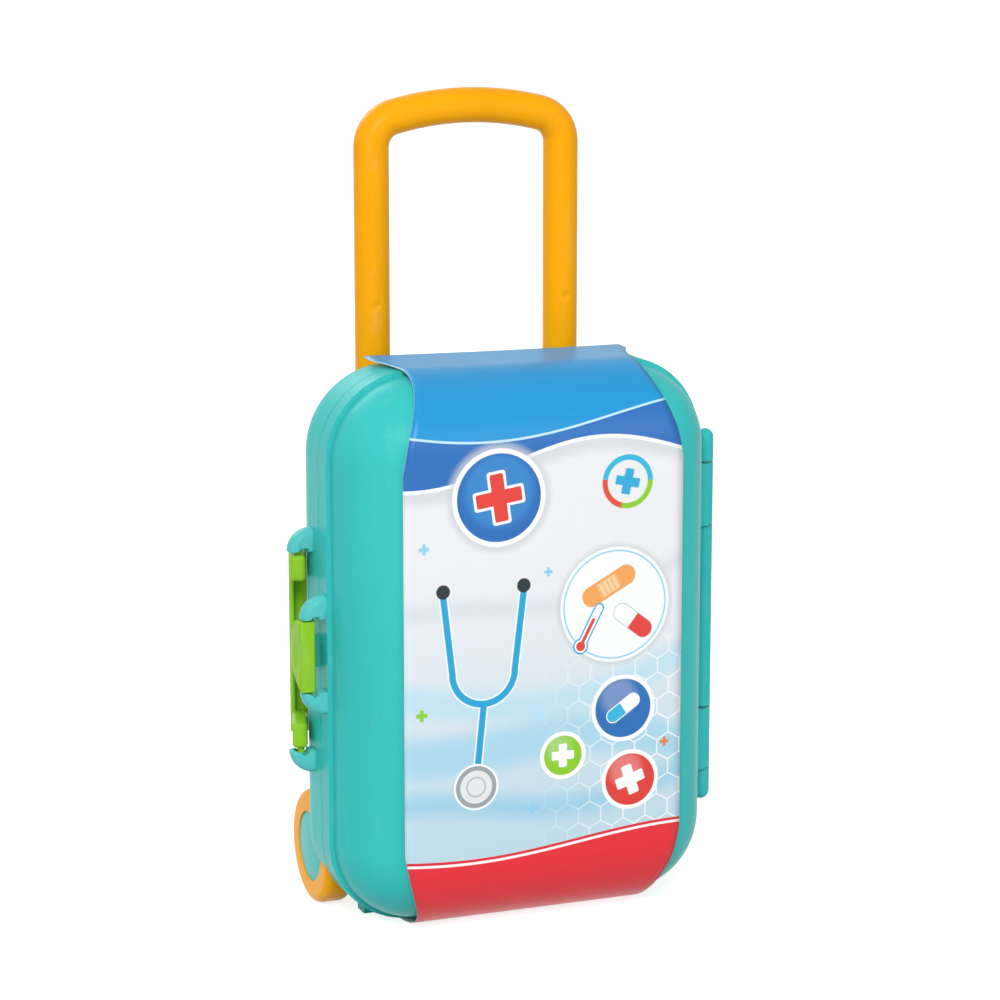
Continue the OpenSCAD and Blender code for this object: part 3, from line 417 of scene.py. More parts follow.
def sleeve_half_width(s):
    """Half the card's width: full in front, cut back by a round notch of radius NOTCH_R that is
    centred at the angle NOTCH_AT of the bend, and less than full on the flaps."""
    y, z = sleeve_path(np.abs(s))
    along = (y - BEND_Y + BEND_R * math.cos(NOTCH_AT)) * math.sin(NOTCH_AT)
    along += (z - BEND_HIGH - BEND_R * math.sin(NOTCH_AT)) * math.cos(NOTCH_AT)
    notch = np.where(
        np.abs(along) < NOTCH_R,
        WAIST_HALF + NOTCH_R - np.sqrt(np.maximum(NOTCH_R**2 - along**2, 0)),
        FULL_HALF,
    )
    return np.minimum(notch, np.where(y < BEND_Y, FULL_HALF, FLAP_HALF))


card_length = BEND_HIGH - BEND_LOW + math.pi * BEND_R + 2 * (FLAP_END - BEND_Y)
s = np.linspace(-card_length / 2, card_length / 2, 241)[:, None]
across = np.linspace(-1, 1, 33)[None, :]
card_y, card_z = sleeve_path(s)
card_x = across * sleeve_half_width(s)
# the top flap springs up a little towards its left end, where it has been handled
spring = np.clip((s - card_length / 2) / SPRING_LENGTH + 1, 0, 1) ** 1.5
spring = spring * (0.35 + 0.65 * (0.5 - across / 2) ** 2)
card_points = np.stack([card_x, card_y + 0 * across, card_z + SPRING_RISE * spring], -1) * MM
card_uv = np.stack([0.5 + card_x / FLAT_SPAN, 0.5 + (s + 0 * across) / FLAT_SPAN], -1)
print("card length", round(card_length, 1), "mm, rows", len(s))

# %% [markdown]
# ## The print
#
# Offset print on white coated card: a blue header with a wave, pale streaks and
# a fine honeycomb behind, a red wave at the foot, and large simple motifs.
# A shape is given by its signed distance: below 0 inside, above 0 outside. An
# ink is then a mask, which is 1 where the distance is below 0, with an edge
# a few tenths of a millimetre wide, as ink on card has.


# %% Signed distances
def turned(x, y, cx, cy, degrees=0.0):
    """Coordinates of x, y in a frame at cx, cy that is turned anticlockwise."""
    c, s = math.cos(math.radians(degrees)), math.sin(math.radians(degrees))
    dx, dy = x - cx, y - cy
    return dx * c + dy * s, dy * c - dx * s


def disc(x, y, cx, cy, r):
    """Distance to the centre, less the radius."""
    dx, dy = x - cx, y - cy
    return (dx * dx + dy * dy).root() - r


def bar(x, y, half_w, half_h, r=0.0):
    """Rounded rectangle about 0: the length of what lies outside the inner rectangle, less r."""
    dx, dy = abs(x) - (half_w - r), abs(y) - (half_h - r)
    outside = (dx.most(0) * dx.most(0) + dy.most(0) * dy.most(0)).root()
    return outside + dx.most(dy).least(0) - r


def rod(x, y, ax, ay, bx, by, r):
    """Stroke with round ends from a to b: distance to the nearest point of the line, less r."""
    ex, ey = bx - ax, by - ay
    share = (((x - ax) * ex + (y - ay) * ey) / (ex * ex + ey * ey)).most(0).least(1)
    dx, dy = x - ax - share * ex, y - ay - share * ey
    return (dx * dx + dy * dy).root() - r


def cross(x, y, reach, half):
    """Plus sign: the nearer of two bars."""
    return bar(x, y, reach, half, half * 0.3).least(bar(x, y, half, reach, half * 0.3))


def honeycomb(finish, x, y, width):
    """Distance from the walls of a hexagon grid: the nearer of two shifted rectangular grids
    gives the cell, and the larger of two projections gives how near its wall is."""
    tall = width * math.sqrt(3)

    def cell(shift_x, shift_y):
        gx = (x + shift_x).math("FLOORED_MODULO", width) - width / 2
        gy = (y + shift_y).math("FLOORED_MODULO", tall) - tall / 2
        return gx, gy, gx * gx + gy * gy

    ax, ay, a2 = cell(0, 0)
    bx, by, b2 = cell(width / 2, tall / 2)
    near = a2.math("LESS_THAN", b2)
    gx = abs(ax * near + bx * (1 - near))
    gy = abs(ay * near + by * (1 - near))
    return width / 2 - gx.most(gx * 0.5 + gy * (math.sqrt(3) / 2))


# %% Printing
def printing(finish, ground):
    """The colour so far, under the key ink, and the call that lays one more ink over it."""
    state = {"ink": ground}

    def ink(distance, hex_code, cover=1.0, soft=0.18):
        mask = (-distance).ramp(-soft, soft) * cover
        state["ink"] = finish.mix(mask, state["ink"], colour(hex_code))

    return state, ink


# %% Card's ground and waves
def print_ground(finish, x, y, ink):
    """Pale streaks that cross the lower half, and a honeycomb that fades in from the right."""
    for level, lean, tall, tint, cover in (
        (-18, 0.10, 17, "a8dcf0", 0.55), (-58, -0.16, 24, "8fd0ea", 0.6),
        (-86, 0.12, 13, "6fc3e4", 0.5), (40, 0.2, 10, "c9d6da", 0.5),
    ):
        curve = (x * 0.021 + level * 0.1).sine() * 13 + x * lean + level
        ink(abs(y - curve) - tall / 2, tint, cover, soft=7.0)
    walls = honeycomb(finish, x, y, 15.0)
    fade = ((x + 20) / 90).ramp(0, 1) * ((-y + 30) / 60).ramp(0, 1)
    ink(walls - 0.45, "ffffff", fade * 0.8)


def print_waves(x, y, ink):
    """Header: two blues parted by a white line, the lower one a wave, and under the line a soft
    grey band of painted shade where the card bends. Foot: a red wave with a white and a thin red
    line over it."""
    wave = (x * 0.026 + 0.6).sine() * 13 + 121
    # painted shade: a soft grey band below the white line, where the card starts to bend over the
    # case's edge
    ink(wave - y - 9, "c3cacd", 0.55, soft=5.0)
    ink(wave - y - 2.2, "ffffff")
    ink(wave - y, "2d6fb8")
    upper = (x * 0.019 - 0.9).sine() * 12 + 146
    ink(upper - y, "1f93cf")
    ink(abs(upper - y) - 0.7, "bfe4f5")
    foot = (x * 0.022 - 0.5).sine() * 6 - 121
    ink(y - foot - 3.4, "e0303a")
    ink(y - foot - 1.6, "ffffff")
    ink(y - foot, "e6303a")


# %% Card's badge, ring and listening tube
def print_badge(x, y, ink):
    """Large badge: a blue disc in a white ring, with a red plus that has a white edge."""
    ink(disc(x, y, -30, 100, 33), "c8cdd0", 0.7, soft=3.0)
    ink(disc(x, y, -30, 100, 30), "ffffff")
    ink(disc(x, y, -30, 100, 27), "2b6cb6")
    ink(disc(x, y, -30, 104, 22), "3f8fd0", 0.7, soft=4.0)
    px, py = turned(x, y, -30, 100, 8)
    ink(cross(px, py, 16.5, 6.0), "ffffff")
    ink(cross(px, py, 14.8, 4.4), "e0443c")


def print_ring(x, y, ink):
    """Small ring of three colours with a plus in it."""
    ring = abs(disc(x, y, 54, 104, 15)) - 1.7
    ink(ring, "8bcb2c")
    ink(ring.most(-y + 104), "35b6dc")
    ink(ring.most(x - 50).most(y - 106), "e0503e")
    qx, qy = turned(x, y, 54, 104, -12)
    ink(cross(qx, qy, 8.0, 2.9), "35a9d8")


def print_listening_tube(x, y, ink):
    """A tall listening tube with its two ear pieces and its chest piece."""
    tube = rod(x, y, -66, 42, -60, -8, 2.1).least(rod(x, y, -14, 42, -20, -8, 2.1))
    bend = abs(disc(x, y, -40, -6, 20.3)) - 2.1
    tube = tube.least(bend.most(y + 7))
    tube = tube.least(rod(x, y, -40, -27, -44, -66, 2.1))
    ink(tube - 0.9, "ffffff", 0.9)
    ink(tube, "2aa4d6")
    for ex in (-66, -14):
        ink(disc(x, y, ex, 45, 4.4), "27343c")
    ink(disc(x, y, -45, -78, 14.5), "ffffff")
    ink(disc(x, y, -45, -78, 13.2), "9aa4aa")
    ink(disc(x, y, -45, -78, 10.4), "e4e8ea")
    ink(abs(disc(x, y, -45, -78, 6.0)) - 0.5, "b4bcc0")


# %% Card's small tools and plus signs
def print_tools(x, y, ink):
    """A pale disc with a plaster, a capsule and a thermometer."""
    ink(disc(x, y, 46, 28, 38), "b9c4c8", 0.5, soft=2.0)
    ink(disc(x, y, 46, 28, 36), "f7f9fa")
    ink(abs(disc(x, y, 46, 28, 33.6)) - 0.5, "8fd0ea")
    sx, sy = turned(x, y, 42, 40, 28)
    ink(bar(sx, sy, 19, 6.4, 6.2), "f2a45a")
    ink(bar(sx, sy, 7.0, 4.6, 1.2), "f8cf9c")
    off_pad = (abs(sx) - 8).most(abs(sy) - 4).most(0)
    ink(abs(sx).math("PINGPONG", 1.6) - 0.35 + off_pad * 9, "e08d44", 0.6)
    cx, cy = turned(x, y, 58, 17, -38)
    pill = rod(cx, cy, -9, 0, 9, 0, 5.6)
    ink(pill, "ffffff")
    ink(abs(pill) - 0.35, "c4ccd0")
    ink(pill.most(-cx), "e0443c")
    tx, ty = turned(x, y, 30, 16, 62)
    glass = rod(tx, ty, -13, 0, 12, 0, 2.7).least(disc(tx, ty, -14, 0, 4.4))
    ink(glass - 0.6, "2aa4d6")
    ink(glass + 0.4, "ffffff")
    ink(rod(tx, ty, -13, 0, 4, 0, 1.1).least(disc(tx, ty, -14, 0, 3.0)), "e0443c")


def print_round_badges(x, y, ink):
    """Three round badges down the right side: a capsule and two plus signs."""
    for bx, by, br, tint in (
        (52, -38, 18.5, "2a6fb6"), (12, -64, 12.5, "8bcb2c"), (57, -84, 16.5, "dd4038"),
    ):
        ink(disc(x, y, bx, by, br + 2.6), "ffffff")
        ink(disc(x, y, bx, by, br), tint)
        ink(disc(x, y, bx - 3, by + br * 0.4, br * 0.62), "ffffff", 0.16, soft=4.0)
    mx, my = turned(x, y, 52, -38, 34)
    ink(rod(mx, my, -8, 0, 8, 0, 4.6), "ffffff")
    ink(rod(mx, my, -8, 0, 8, 0, 4.0).most(mx), "35b6dc")
    ink(cross(x - 12, y + 64, 7.4, 2.7), "ffffff")
    nx, ny = turned(x, y, 57, -84, 18)
    ink(cross(nx, ny, 9.6, 3.5), "ffffff")


def print_plus_signs(x, y, ink):
    """Small plus signs scattered over the pale ground."""
    for ax, ay, reach, tint in (
        (-78, 72, 3.4, "8fd0ea"), (2, 52, 2.8, "8fd0ea"), (-4, -36, 4.2, "b6e0f0"),
        (-80, -30, 3.6, "8bcb2c"), (80, -62, 3.0, "e0844c"), (-8, -96, 3.4, "8fd0ea"),
    ):
        ink(cross(x - ax, y - ay, reach, reach * 0.34), tint)


# %% Printed card
def printed_card():
    """The sleeve's outer side: inks laid over each other in the order of the calls."""
    finish = Finish("printed_card")
    u, v, _ = finish.axes("UV")
    x, y = (u - 0.5) * FLAT_SPAN, (v - 0.5) * FLAT_SPAN
    ground = finish.mix(((y + 130) / 200).ramp(0, 1), colour("bfdbe8"), colour("e8eaed"))
    state, ink = printing(finish, ground)
    print_ground(finish, x, y, ink)
    for draw in (
        print_waves, print_badge, print_ring, print_listening_tube, print_tools,
        print_round_badges, print_plus_signs,
    ):
        draw(x, y, ink)
    fibre = finish.noise(700.0, 3.0, 0.6)
    smear = finish.noise(26.0, 3.0, 0.55)
    finish.set(Base_Color=state["ink"], Roughness=0.24 + smear * 0.1 + fibre * 0.05, IOR=1.5)
    finish.set(Specular_IOR_Level=0.25)
    finish.bump(fibre * 0.4 + smear, 0.00004)
    return finish.material


def plain_card():
    """The sleeve's inner side and cut edge: uncoated grey-white board."""
    finish = Finish("plain_card")
    fibre = finish.noise(900.0, 4.0, 0.65)
    finish.set(Base_Color=finish.mix(fibre, colour("d9d8d2"), colour("efeeea")), Roughness=0.8)
    finish.bump(fibre, 0.00006)
    return finish.material


sleeve = skin("sleeve_card", card_points, "sleeve", printed_card(), uv=card_uv)
sleeve.data.materials.append(plain_card())
board = sleeve.modifiers.new("board", "SOLIDIFY")
board.thickness, board.offset = CARD_T * MM, 0.0
board.material_offset, board.material_offset_rim = 1, 1
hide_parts("card_sleeve")
print("print nodes:", len(sleeve.data.materials[0].node_tree.nodes))

# %% [markdown]
# ## Prints inside the case
#
# Under the sleeve the lid carries a printed label. The gauge has a dial with
# plain ticks and a hand, and the picture in the frame shows ribs and a spine.
# All three are drawn on the CAD pieces, in Object coordinates.


# %% Label, dial and film
def flat_print(name, node_name, ground, rough):
    """Finish for a flat piece: its coordinates x, z in mm from the piece's middle, and its inks."""
    finish = Finish(name)
    low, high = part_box(node_name)
    middle = (low + high) / 2
    x, _, z = finish.axes()
    state, ink = printing(finish, colour(ground))
    finish.set(Roughness=rough, IOR=1.5)
    return finish, (x - middle.x) * 1000, (z - middle.z) * 1000, state, ink


def label_print():
    finish, x, z, state, ink = flat_print("label_print", "front_label", "e9f1f4", 0.35)
    ink(honeycomb(finish, x, z, 15.0) - 0.5, "ffffff", 0.7)
    ink(80 - z + (x * 0.04).sine() * 7, "2f7fc4")
    ink(92 - z + (x * 0.04 + 0.8).sine() * 6, "35a5da")
    ink(z + 84 - (x * 0.05).sine() * 6, "8bcb2c")
    ink(z + 92 - (x * 0.05 + 0.7).sine() * 5, "e0443c")
    ink(disc(x, z, 0, 8, 54), "ffffff")
    ink(disc(x, z, 0, 8, 50), "49b6dd")
    ink(disc(x, z, 0, 8, 42), "ffffff")
    ink(cross(x, z - 8, 27, 9.5), "e0443c")
    for ax, az, reach in ((-52, 62, 5), (56, 64, 4), (-56, -56, 4), (54, -52, 5)):
        ink(cross(x - ax, z - az, reach, reach * 0.34), "49b6dd")
    return finish.set(Base_Color=state["ink"]).material


def dial_print():
    finish, x, z, state, ink = flat_print("dial_print", "gauge_dial", "f4f3ee", 0.3)
    angle, away = x.math("ARCTAN2", z), (x * x + z * z).root()
    step = math.radians(30)
    to_tick = abs((angle + step / 2 + 2 * math.pi).math("FLOORED_MODULO", step) - step / 2) * away
    open_foot = 2.4 - abs(angle)
    ink((to_tick - 0.45).most(abs(away - 13.2) - 1.9).most(-open_foot), "262b30", 1, 0.1)
    ink((abs(away - 16.3) - 0.35).most(-open_foot), "262b30", 1, 0.1)
    ink((abs(away - 9.6) - 0.8).most(-angle).most(angle - 2.2), "e0443c", 1, 0.1)
    ink(rod(x, z, 0, 0, -6.5, 8.5, 0.8).least(away - 2.3), "d9342c", 1, 0.1)
    return finish.set(Base_Color=state["ink"]).material


def film_print():
    finish, x, z, state, ink = flat_print("film_print", "xray_film", "10171c", 0.14)
    glow = finish.noise(60.0, 3.0, 0.6)
    ink(bar(x, z + 4, 30, 36, 18), "27414d", 0.8, soft=9.0)
    for k in range(6):
        rib_z = 24 - 10.5 * k
        reach = 26.5 - abs(k - 2.6) * 2.6
        curve = abs(z - rib_z + x * x * 0.012 - 3.0)
        ink((curve - 1.9).most(abs(x) - reach), "a9c4cf", 0.85, soft=0.7)
    ink((abs(z - 34 + abs(x) * 0.12) - 1.7).most(abs(x) - 31), "c4d8df", 0.9, soft=0.6)
    links = z.math("PINGPONG", 3.6)
    ink((abs(x) - 3.1 - links * 0.25).most(abs(z) - 40).most(0.7 - links), "d6e4e9", 0.95, soft=0.5)
    finish.set(Roughness=0.12 + glow * 0.06)
    return finish.set(Base_Color=state["ink"]).material


for node_name, made in (
    ("front_label", label_print()), ("gauge_dial", dial_print()), ("xray_film", film_print()),
):
    nodes[node_name].data.materials.clear()
    nodes[node_name].data.materials.append(made)
    print(node_name, "print nodes:", len(made.node_tree.nodes))

# %% [markdown]
# ## Tubes, soft blocks and turned pieces
#
# The pull handle is one bent tube. A tube is a circle carried along a path: at
# each point of the path, the circle lies in the plane across it. A fixed side
# direction keeps the circles from twisting. Arms and walls are blocks with
# rounded edges, and studs are turned. All three are grids for `skin`, and
# `merge` puts the closed shells of one moulded piece together.


# %% Tubes, blocks and turned pieces
def tube_points(path, radius, around):
    """Grid of a tube: path (rows, 3) and radius in metres. Row i is a circle about path[i], in the
    plane across the path. Its side direction is Y, less the share of Y that lies along the path."""
    radius = np.broadcast_to(radius, len(path))[:, None, None]
    ahead = np.gradient(path, axis=0)
    ahead /= np.linalg.norm(ahead, axis=1, keepdims=True)
    side = np.broadcast_to((0.0, 1.0, 0.0), path.shape)
    side = side - ahead * (side * ahead).sum(1, keepdims=True)
    side /= np.linalg.norm(side, axis=1, keepdims=True)
    across = np.cross(ahead, side)
    turn = np.linspace(0, 2 * np.pi, around, endpoint=False)[None, :, None]
    ring = np.cos(turn) * across[:, None] + np.sin(turn) * side[:, None]
    return path[:, None] + radius * ring


def ends_rounded(length, r, steps=6, middle=2):
    """Positions along a length and the inset there, so that its two ends are rounded by r."""
    turn = np.linspace(0, np.pi / 2, steps)
    low = r - r * np.cos(turn)
    place = np.concatenate([low, np.linspace(r, length - r, middle + 2)[1:-1], length - low[::-1]])
    inset = np.concatenate([r - r * np.sin(turn), np.zeros(middle), (r - r * np.sin(turn))[::-1]])
    return place, inset


def soft_block(low, high, r, steps=7):
    """Grid of a box from corner low to corner high in mm, with its edges rounded by r: a rounded
    rectangle in X-Y is carried up Z and shrinks by a quarter circle at both ends."""
    low, high = np.array(low, float), np.array(high, float)
    size = high - low
    place, inset = ends_rounded(size[2], r)
    quarter = np.linspace(0, 90, steps)[None, :]
    turn = (np.arange(4)[:, None] * 90 + quarter).reshape(-1) * np.pi / 180
    corner_x = np.repeat([1, -1, -1, 1], steps) * (size[0] / 2 - r)
    corner_y = np.repeat([1, 1, -1, -1], steps) * (size[1] / 2 - r)
    reach = (r - inset)[:, None]
    x = corner_x + reach * np.cos(turn) + (low[0] + high[0]) / 2
    y = corner_y + reach * np.sin(turn) + (low[1] + high[1]) / 2
    z = low[2] + place[:, None] + 0 * x
    return np.stack([x, y, z], -1) * MM


def turned_points(profile, spot, around):
    """Grid of a piece turned about the upright line through spot: profile is (height over spot,
    radius) in mm, and each of its points becomes a circle."""
    profile = np.array(profile, float)
    turn = np.linspace(0, 2 * np.pi, around, endpoint=False)[None]
    height, r = profile[:, :1], profile[:, 1:]
    return (np.stack([r * np.cos(turn), r * np.sin(turn), height + 0 * turn], -1) + spot) * MM


def merge(name, pieces):
    """One object from several closed shells of the same body."""
    first = pieces[0]
    with bpy.context.temp_override(
        active_object=first, object=first, selected_objects=pieces, selected_editable_objects=pieces
    ):
        bpy.ops.object.join()
    first.name = name
    return first


# %% Telescopic handle
TUBE_R, TUBE_X, TUBE_Y = 11.0, 63.5, 70.0
TUBE_FOOT, GRIP_TOP, SHOULDER_R, CROWN_R = 182.0, 508.0, 19.0, 200.0
DIMPLE_Z, DIMPLE_R, DIMPLE_DEEP = 375.0, 2.0, 1.1
shoulder_x = TUBE_X - SHOULDER_R
crown_z = GRIP_TOP - TUBE_R - CROWN_R
lean = math.asin(shoulder_x / (CROWN_R - SHOULDER_R))
shoulder_z = crown_z + (CROWN_R - SHOULDER_R) * math.cos(lean)


def grip_path():
    """Right leg, right shoulder, crown, left shoulder, left leg, in the plane of the tubes."""
    # the rows lie close together round the dimples
    leg = np.concatenate([
        np.linspace(TUBE_FOOT, DIMPLE_Z - 15, 24),
        np.linspace(DIMPLE_Z - 13, DIMPLE_Z + 13, 27),
        np.linspace(DIMPLE_Z + 17, shoulder_z - 1, 12),
    ])
    right = np.stack([0 * leg + TUBE_X, leg], -1)
    turn = np.linspace(0, np.pi / 2 - lean, 22)
    bend = np.stack([np.cos(turn), np.sin(turn)], -1) * SHOULDER_R + (shoulder_x, shoulder_z)
    turn = np.linspace(np.pi / 2 - lean, np.pi / 2 + lean, 26)[1:-1]
    crown = np.stack([np.cos(turn), np.sin(turn)], -1) * CROWN_R + (0.0, crown_z)
    mirror = np.array([-1, 1])
    flat = np.concatenate([right, bend, crown, (bend * mirror)[::-1], (right * mirror)[::-1]])
    return np.stack([flat[:, 0], 0 * flat[:, 0] + TUBE_Y, flat[:, 1]], -1) * MM


path = grip_path()
grip = tube_points(path, TUBE_R * MM, around=56)
# two shallow dimples on the front of the tubes, where the spring pins sit
for sx in (-1, 1):
    spot = np.array([sx * TUBE_X, TUBE_Y - TUBE_R, DIMPLE_Z]) * MM
    off = np.linalg.norm(grip - spot, axis=-1, keepdims=True)
    inward = np.array([0, 1, 0]) * DIMPLE_DEEP * MM
    grip = grip + inward * np.exp(-((off / (DIMPLE_R * MM)) ** 2))
handle = skin("pull_handle", grip, "telescopic_handle", yellow, around=True, caps=True)
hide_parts("telescopic_handle")
print("handle", len(handle.data.polygons), "faces")

# %% [markdown]
# ## The carry handle
#
# A lime bail hangs between two ears on the left side. It is a bar between two
# stout arms, with a stud at each end that turns in the ear, and it is
# rounded all over so that it is kind to small hands.

# %% Carry handle
MID_Z = 173.3           # middle of the case's height
CARRY_X, CARRY_Y, CARRY_Z = -131.0, 17.0, 170.3     # its axis and the middle of its length
CARRY_REACH, CARRY_LEAN, CARRY_HALF = 29.0, math.radians(18), 62.1
ARM_INSET, ARM_HALF = 9.4, 8.2


def about_z(points, cx, cy, angle):
    """Turns points about the upright line through cx, cy, in mm, clockwise from above."""
    c, s = math.cos(angle), math.sin(angle)
    x, y = points[..., 0] - cx * MM, points[..., 1] - cy * MM
    return np.stack([cx * MM + x * c + y * s, cy * MM - x * s + y * c, points[..., 2]], -1)


def closed(name, points, body):
    """One closed lime shell on a body."""
    return skin(name, points, body, lime, around=True, caps=True)


shells = []
for up in (-1, 1):
    middle = CARRY_Z + up * (CARRY_HALF - ARM_INSET)
    arm = soft_block(
        (CARRY_X - 5.2, CARRY_Y - 5.2, middle - ARM_HALF),
        (CARRY_X + 4.3, CARRY_Y + CARRY_REACH + 2, middle + ARM_HALF),
        2.6,
    )
    shells.append(closed("arm", about_z(arm, CARRY_X, CARRY_Y, CARRY_LEAN), "carry_handle"))
bar_x = CARRY_X + CARRY_REACH * math.sin(CARRY_LEAN)
bar_y = CARRY_Y + CARRY_REACH * math.cos(CARRY_LEAN)
bar_half = CARRY_HALF - 3.2
# outline of the bar seen from above: a channel that is open to the front, with a rounded back
half_turn = np.linspace(-math.pi / 2, math.pi / 2, 19)
back = [(-1.0 + 5.4 * math.sin(t), 0.6 + 4.0 * math.cos(t)) for t in half_turn]
outline = np.array(back + [
    (4.4, -2.4), (3.9, -3.0), (3.3, -2.4), (2.9, -0.2), (2.2, 0.5), (-3.0, 0.5),
    (-3.8, -0.4), (-4.2, -3.6), (-5.3, -4.4), (-6.2, -3.8), (-6.4, -2.8),
])
# the bar's ends taper over their last millimetre
ends = np.array([bar_half - 0.9, bar_half - 0.2, bar_half])
rows = np.concatenate([-ends[::-1], [0.0], ends])
shrink = np.array([0.86, 0.94, 1, 1, 1, 0.94, 0.86])
rail = np.stack([
    bar_x + outline[None, ::-1, 0] * shrink[:, None],
    bar_y + outline[None, ::-1, 1] * shrink[:, None],
    CARRY_Z + rows[:, None] + 0 * outline[None, :, 0],
], -1) * MM
shells.append(closed("bar", rail, "carry_handle"))
for up in (-1, 1):
    profile = ((54.0, 0.1), (54.0, 2.2), (68.2, 2.2), (68.5, 2.0), (68.5, 0.1))
    stud = turned_points([(up * z, r) for z, r in profile], (CARRY_X, CARRY_Y, CARRY_Z), 28)
    shells.append(closed("stud", stud, "carry_handle"))
bail = merge("carry_bail", shells)
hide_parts("carry_handle")
print("carry handle", len(bail.data.polygons), "faces")

# %% [markdown]
# ## The gauge's tube
#
# A soft tube of 24 mm joins the toy gauge to its block. It lies in its own groove
# of the tray, so it is nearly straight, with the faint wave that such a tube
# keeps. Thin rings along it tell it from a wire. It is too short to count as a
# cord, so it is a plain piece.

# %% Gauge tube
tube_low, tube_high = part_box("gauge_cord")
tube_middle = (np.array(tube_low) + np.array(tube_high)) / 2
fall = np.linspace(0, 1, 25)
route = np.stack([
    tube_middle[0] + 0.0004 * np.sin(2 * np.pi * fall),
    tube_middle[1] + 0 * fall,
    tube_high[2] + (tube_low[2] - tube_high[2]) * fall,
], -1)
RINGS, ROWS = 24, 193
fine = np.stack([np.interp(np.linspace(0, 1, ROWS), fall, route[:, k]) for k in range(3)], -1)
ringed = 0.00122 + 0.00008 * np.cos(np.linspace(0, 2 * np.pi * RINGS, ROWS))
link = skin("gauge_tube", tube_points(fine, ringed, 20), "base", rubber, around=True, caps=True)
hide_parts("gauge_cord")
tube_length = float(np.linalg.norm(np.diff(route, axis=0), axis=1).sum())
print("gauge tube", round(tube_length * 1000, 1), "mm")

# %% [markdown]
# ## The ears
#
# Two pairs of hoods hold the studs of the carry handle and of the latch. Each
# hood is a quarter dome against the wall, cut flat where it meets the moving
# piece, with a notch round the stud. Its outline, seen from the front, is
# carried from front to back and shrinks towards both ends, which rounds them.


# %% Ears
WALL_X = 123.5          # outer face of the case's side wall
EAR_ROOT, NOTCH_DEEP = 0.6, 2.4


def hood(reach, thick, y_mid, z_flat, up, notch):
    """Grid of one ear: reach from the wall and thickness in mm, its flat end at z_flat, and its
    notch from notch[0] to notch[1] outwards from the wall. The root is sunk in the wall."""
    near, far = notch
    foot = [
        (-EAR_ROOT, 0.0), (0.0, 0.0), (near - 0.9, 0.0), (near - 0.3, 0.4), (near, NOTCH_DEEP),
        (far, NOTCH_DEEP), (far + 0.3, 0.4), (far + 0.8, 0.0), (reach - 0.8, 0.0),
        (reach - 0.1, 0.7),
    ]
    dome = [(reach * math.cos(t), reach * math.sin(t)) for t in np.linspace(0.09, math.pi / 2, 22)]
    outline = np.array(foot + dome + [(-EAR_ROOT, reach)])
    step, inset = ends_rounded(thick, 3.6, 8, 5)
    off = step - thick / 2
    shrink = (np.sqrt(reach**2 - off**2) - inset)[:, None] / reach
    away = outline[None, :, 0] * np.where(outline[None, :, 0] > 0, shrink, 1)
    high = outline[None, :, 1] * shrink + 0.35 * inset[:, None]
    return np.stack([-WALL_X - away, y_mid + off[:, None] + 0 * away, z_flat + up * high], -1) * MM


for node_name, reach, thick, y_mid, z_mid, half, notch, body in (
    ("latch_ears", 15.1, 12.6, -7.5, MID_Z, 22.4, (5.8, 13.2), "lid"),
    ("carry_ears", 14.8, 12.0, 17.0, CARRY_Z, 62.5, (3.6, 11.4), "base"),
):
    pair = [
        skin("hood", hood(reach, thick, y_mid, z_mid + up * half, up, notch), body, teal_light,
             around=True, caps="flat")
        for up in (-1, 1)
    ]
    ears = merge(node_name + "_hoods", pair)
    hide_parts(node_name)
    print(node_name, len(ears.data.polygons), "faces on", body)

# %% [markdown]
# ## The latch
#
# A leaf-shaped plate that a child can flip with one finger: straight at the
# front, where it hangs between its ears, and curved towards the back, where it
# snaps behind the catch. Its outer face is crowned and has a raised rim, with a
# shallow thumb pad in the middle.

# %% Latch leaf
LATCH_X, LATCH_Y, LATCH_HALF = -133.2, -7.5, 22.0   # its axis and half its height
LATCH_OUT, LATCH_FRONT = -141.2, -13.5              # its outer and its front face
LEAF_T, LEAF_ROLL = 2.2, 2.6                        # the leaf's wall and its rounded edge

up = np.linspace(-1, 1, 61)[:, None]
deep = np.linspace(0, 1, 41)[None, :]
leaf_back = -8.4 + 4.8 * up + 17.8 * np.maximum(1 - up**2, 0) ** 0.75
leaf_y = LATCH_FRONT + 1.2 + (leaf_back - LATCH_FRONT - 1.2) * deep
to_side = np.minimum(deep, 1 - deep) * (leaf_back - LATCH_FRONT)
edge = np.minimum(to_side, (1 - np.abs(up)) * LATCH_HALF)
roll = np.sqrt(1 - (1 - np.clip(edge / LEAF_ROLL, 0, 1)) ** 2)
rim = np.exp(-(((edge - 2.4) / 0.9) ** 2))
pad = np.exp(-((up * LATCH_HALF / 8.5) ** 4) - ((leaf_y - LATCH_Y) / 5.5) ** 4)
crown = (1 - up**2) * np.sin(np.pi * deep) ** 0.6
leaf_x = LATCH_OUT + 2.2 - 1.0 * roll - 0.77 * crown - 0.275 * rim + 1.08 * pad
leaf_x = np.maximum(leaf_x, LATCH_OUT + 0.02)
leaf = np.stack([leaf_x, leaf_y, MID_Z + up * LATCH_HALF + 0 * leaf_y], -1) * MM
# rows from the top down, so that its faces point outwards and its wall grows inwards
plate = skin("leaf", leaf[::-1], "latch", lime)
wall = plate.modifiers.new("wall", "SOLIDIFY")
wall.thickness, wall.offset = LEAF_T * MM, -1.0
print("leaf", len(plate.data.polygons), "faces")

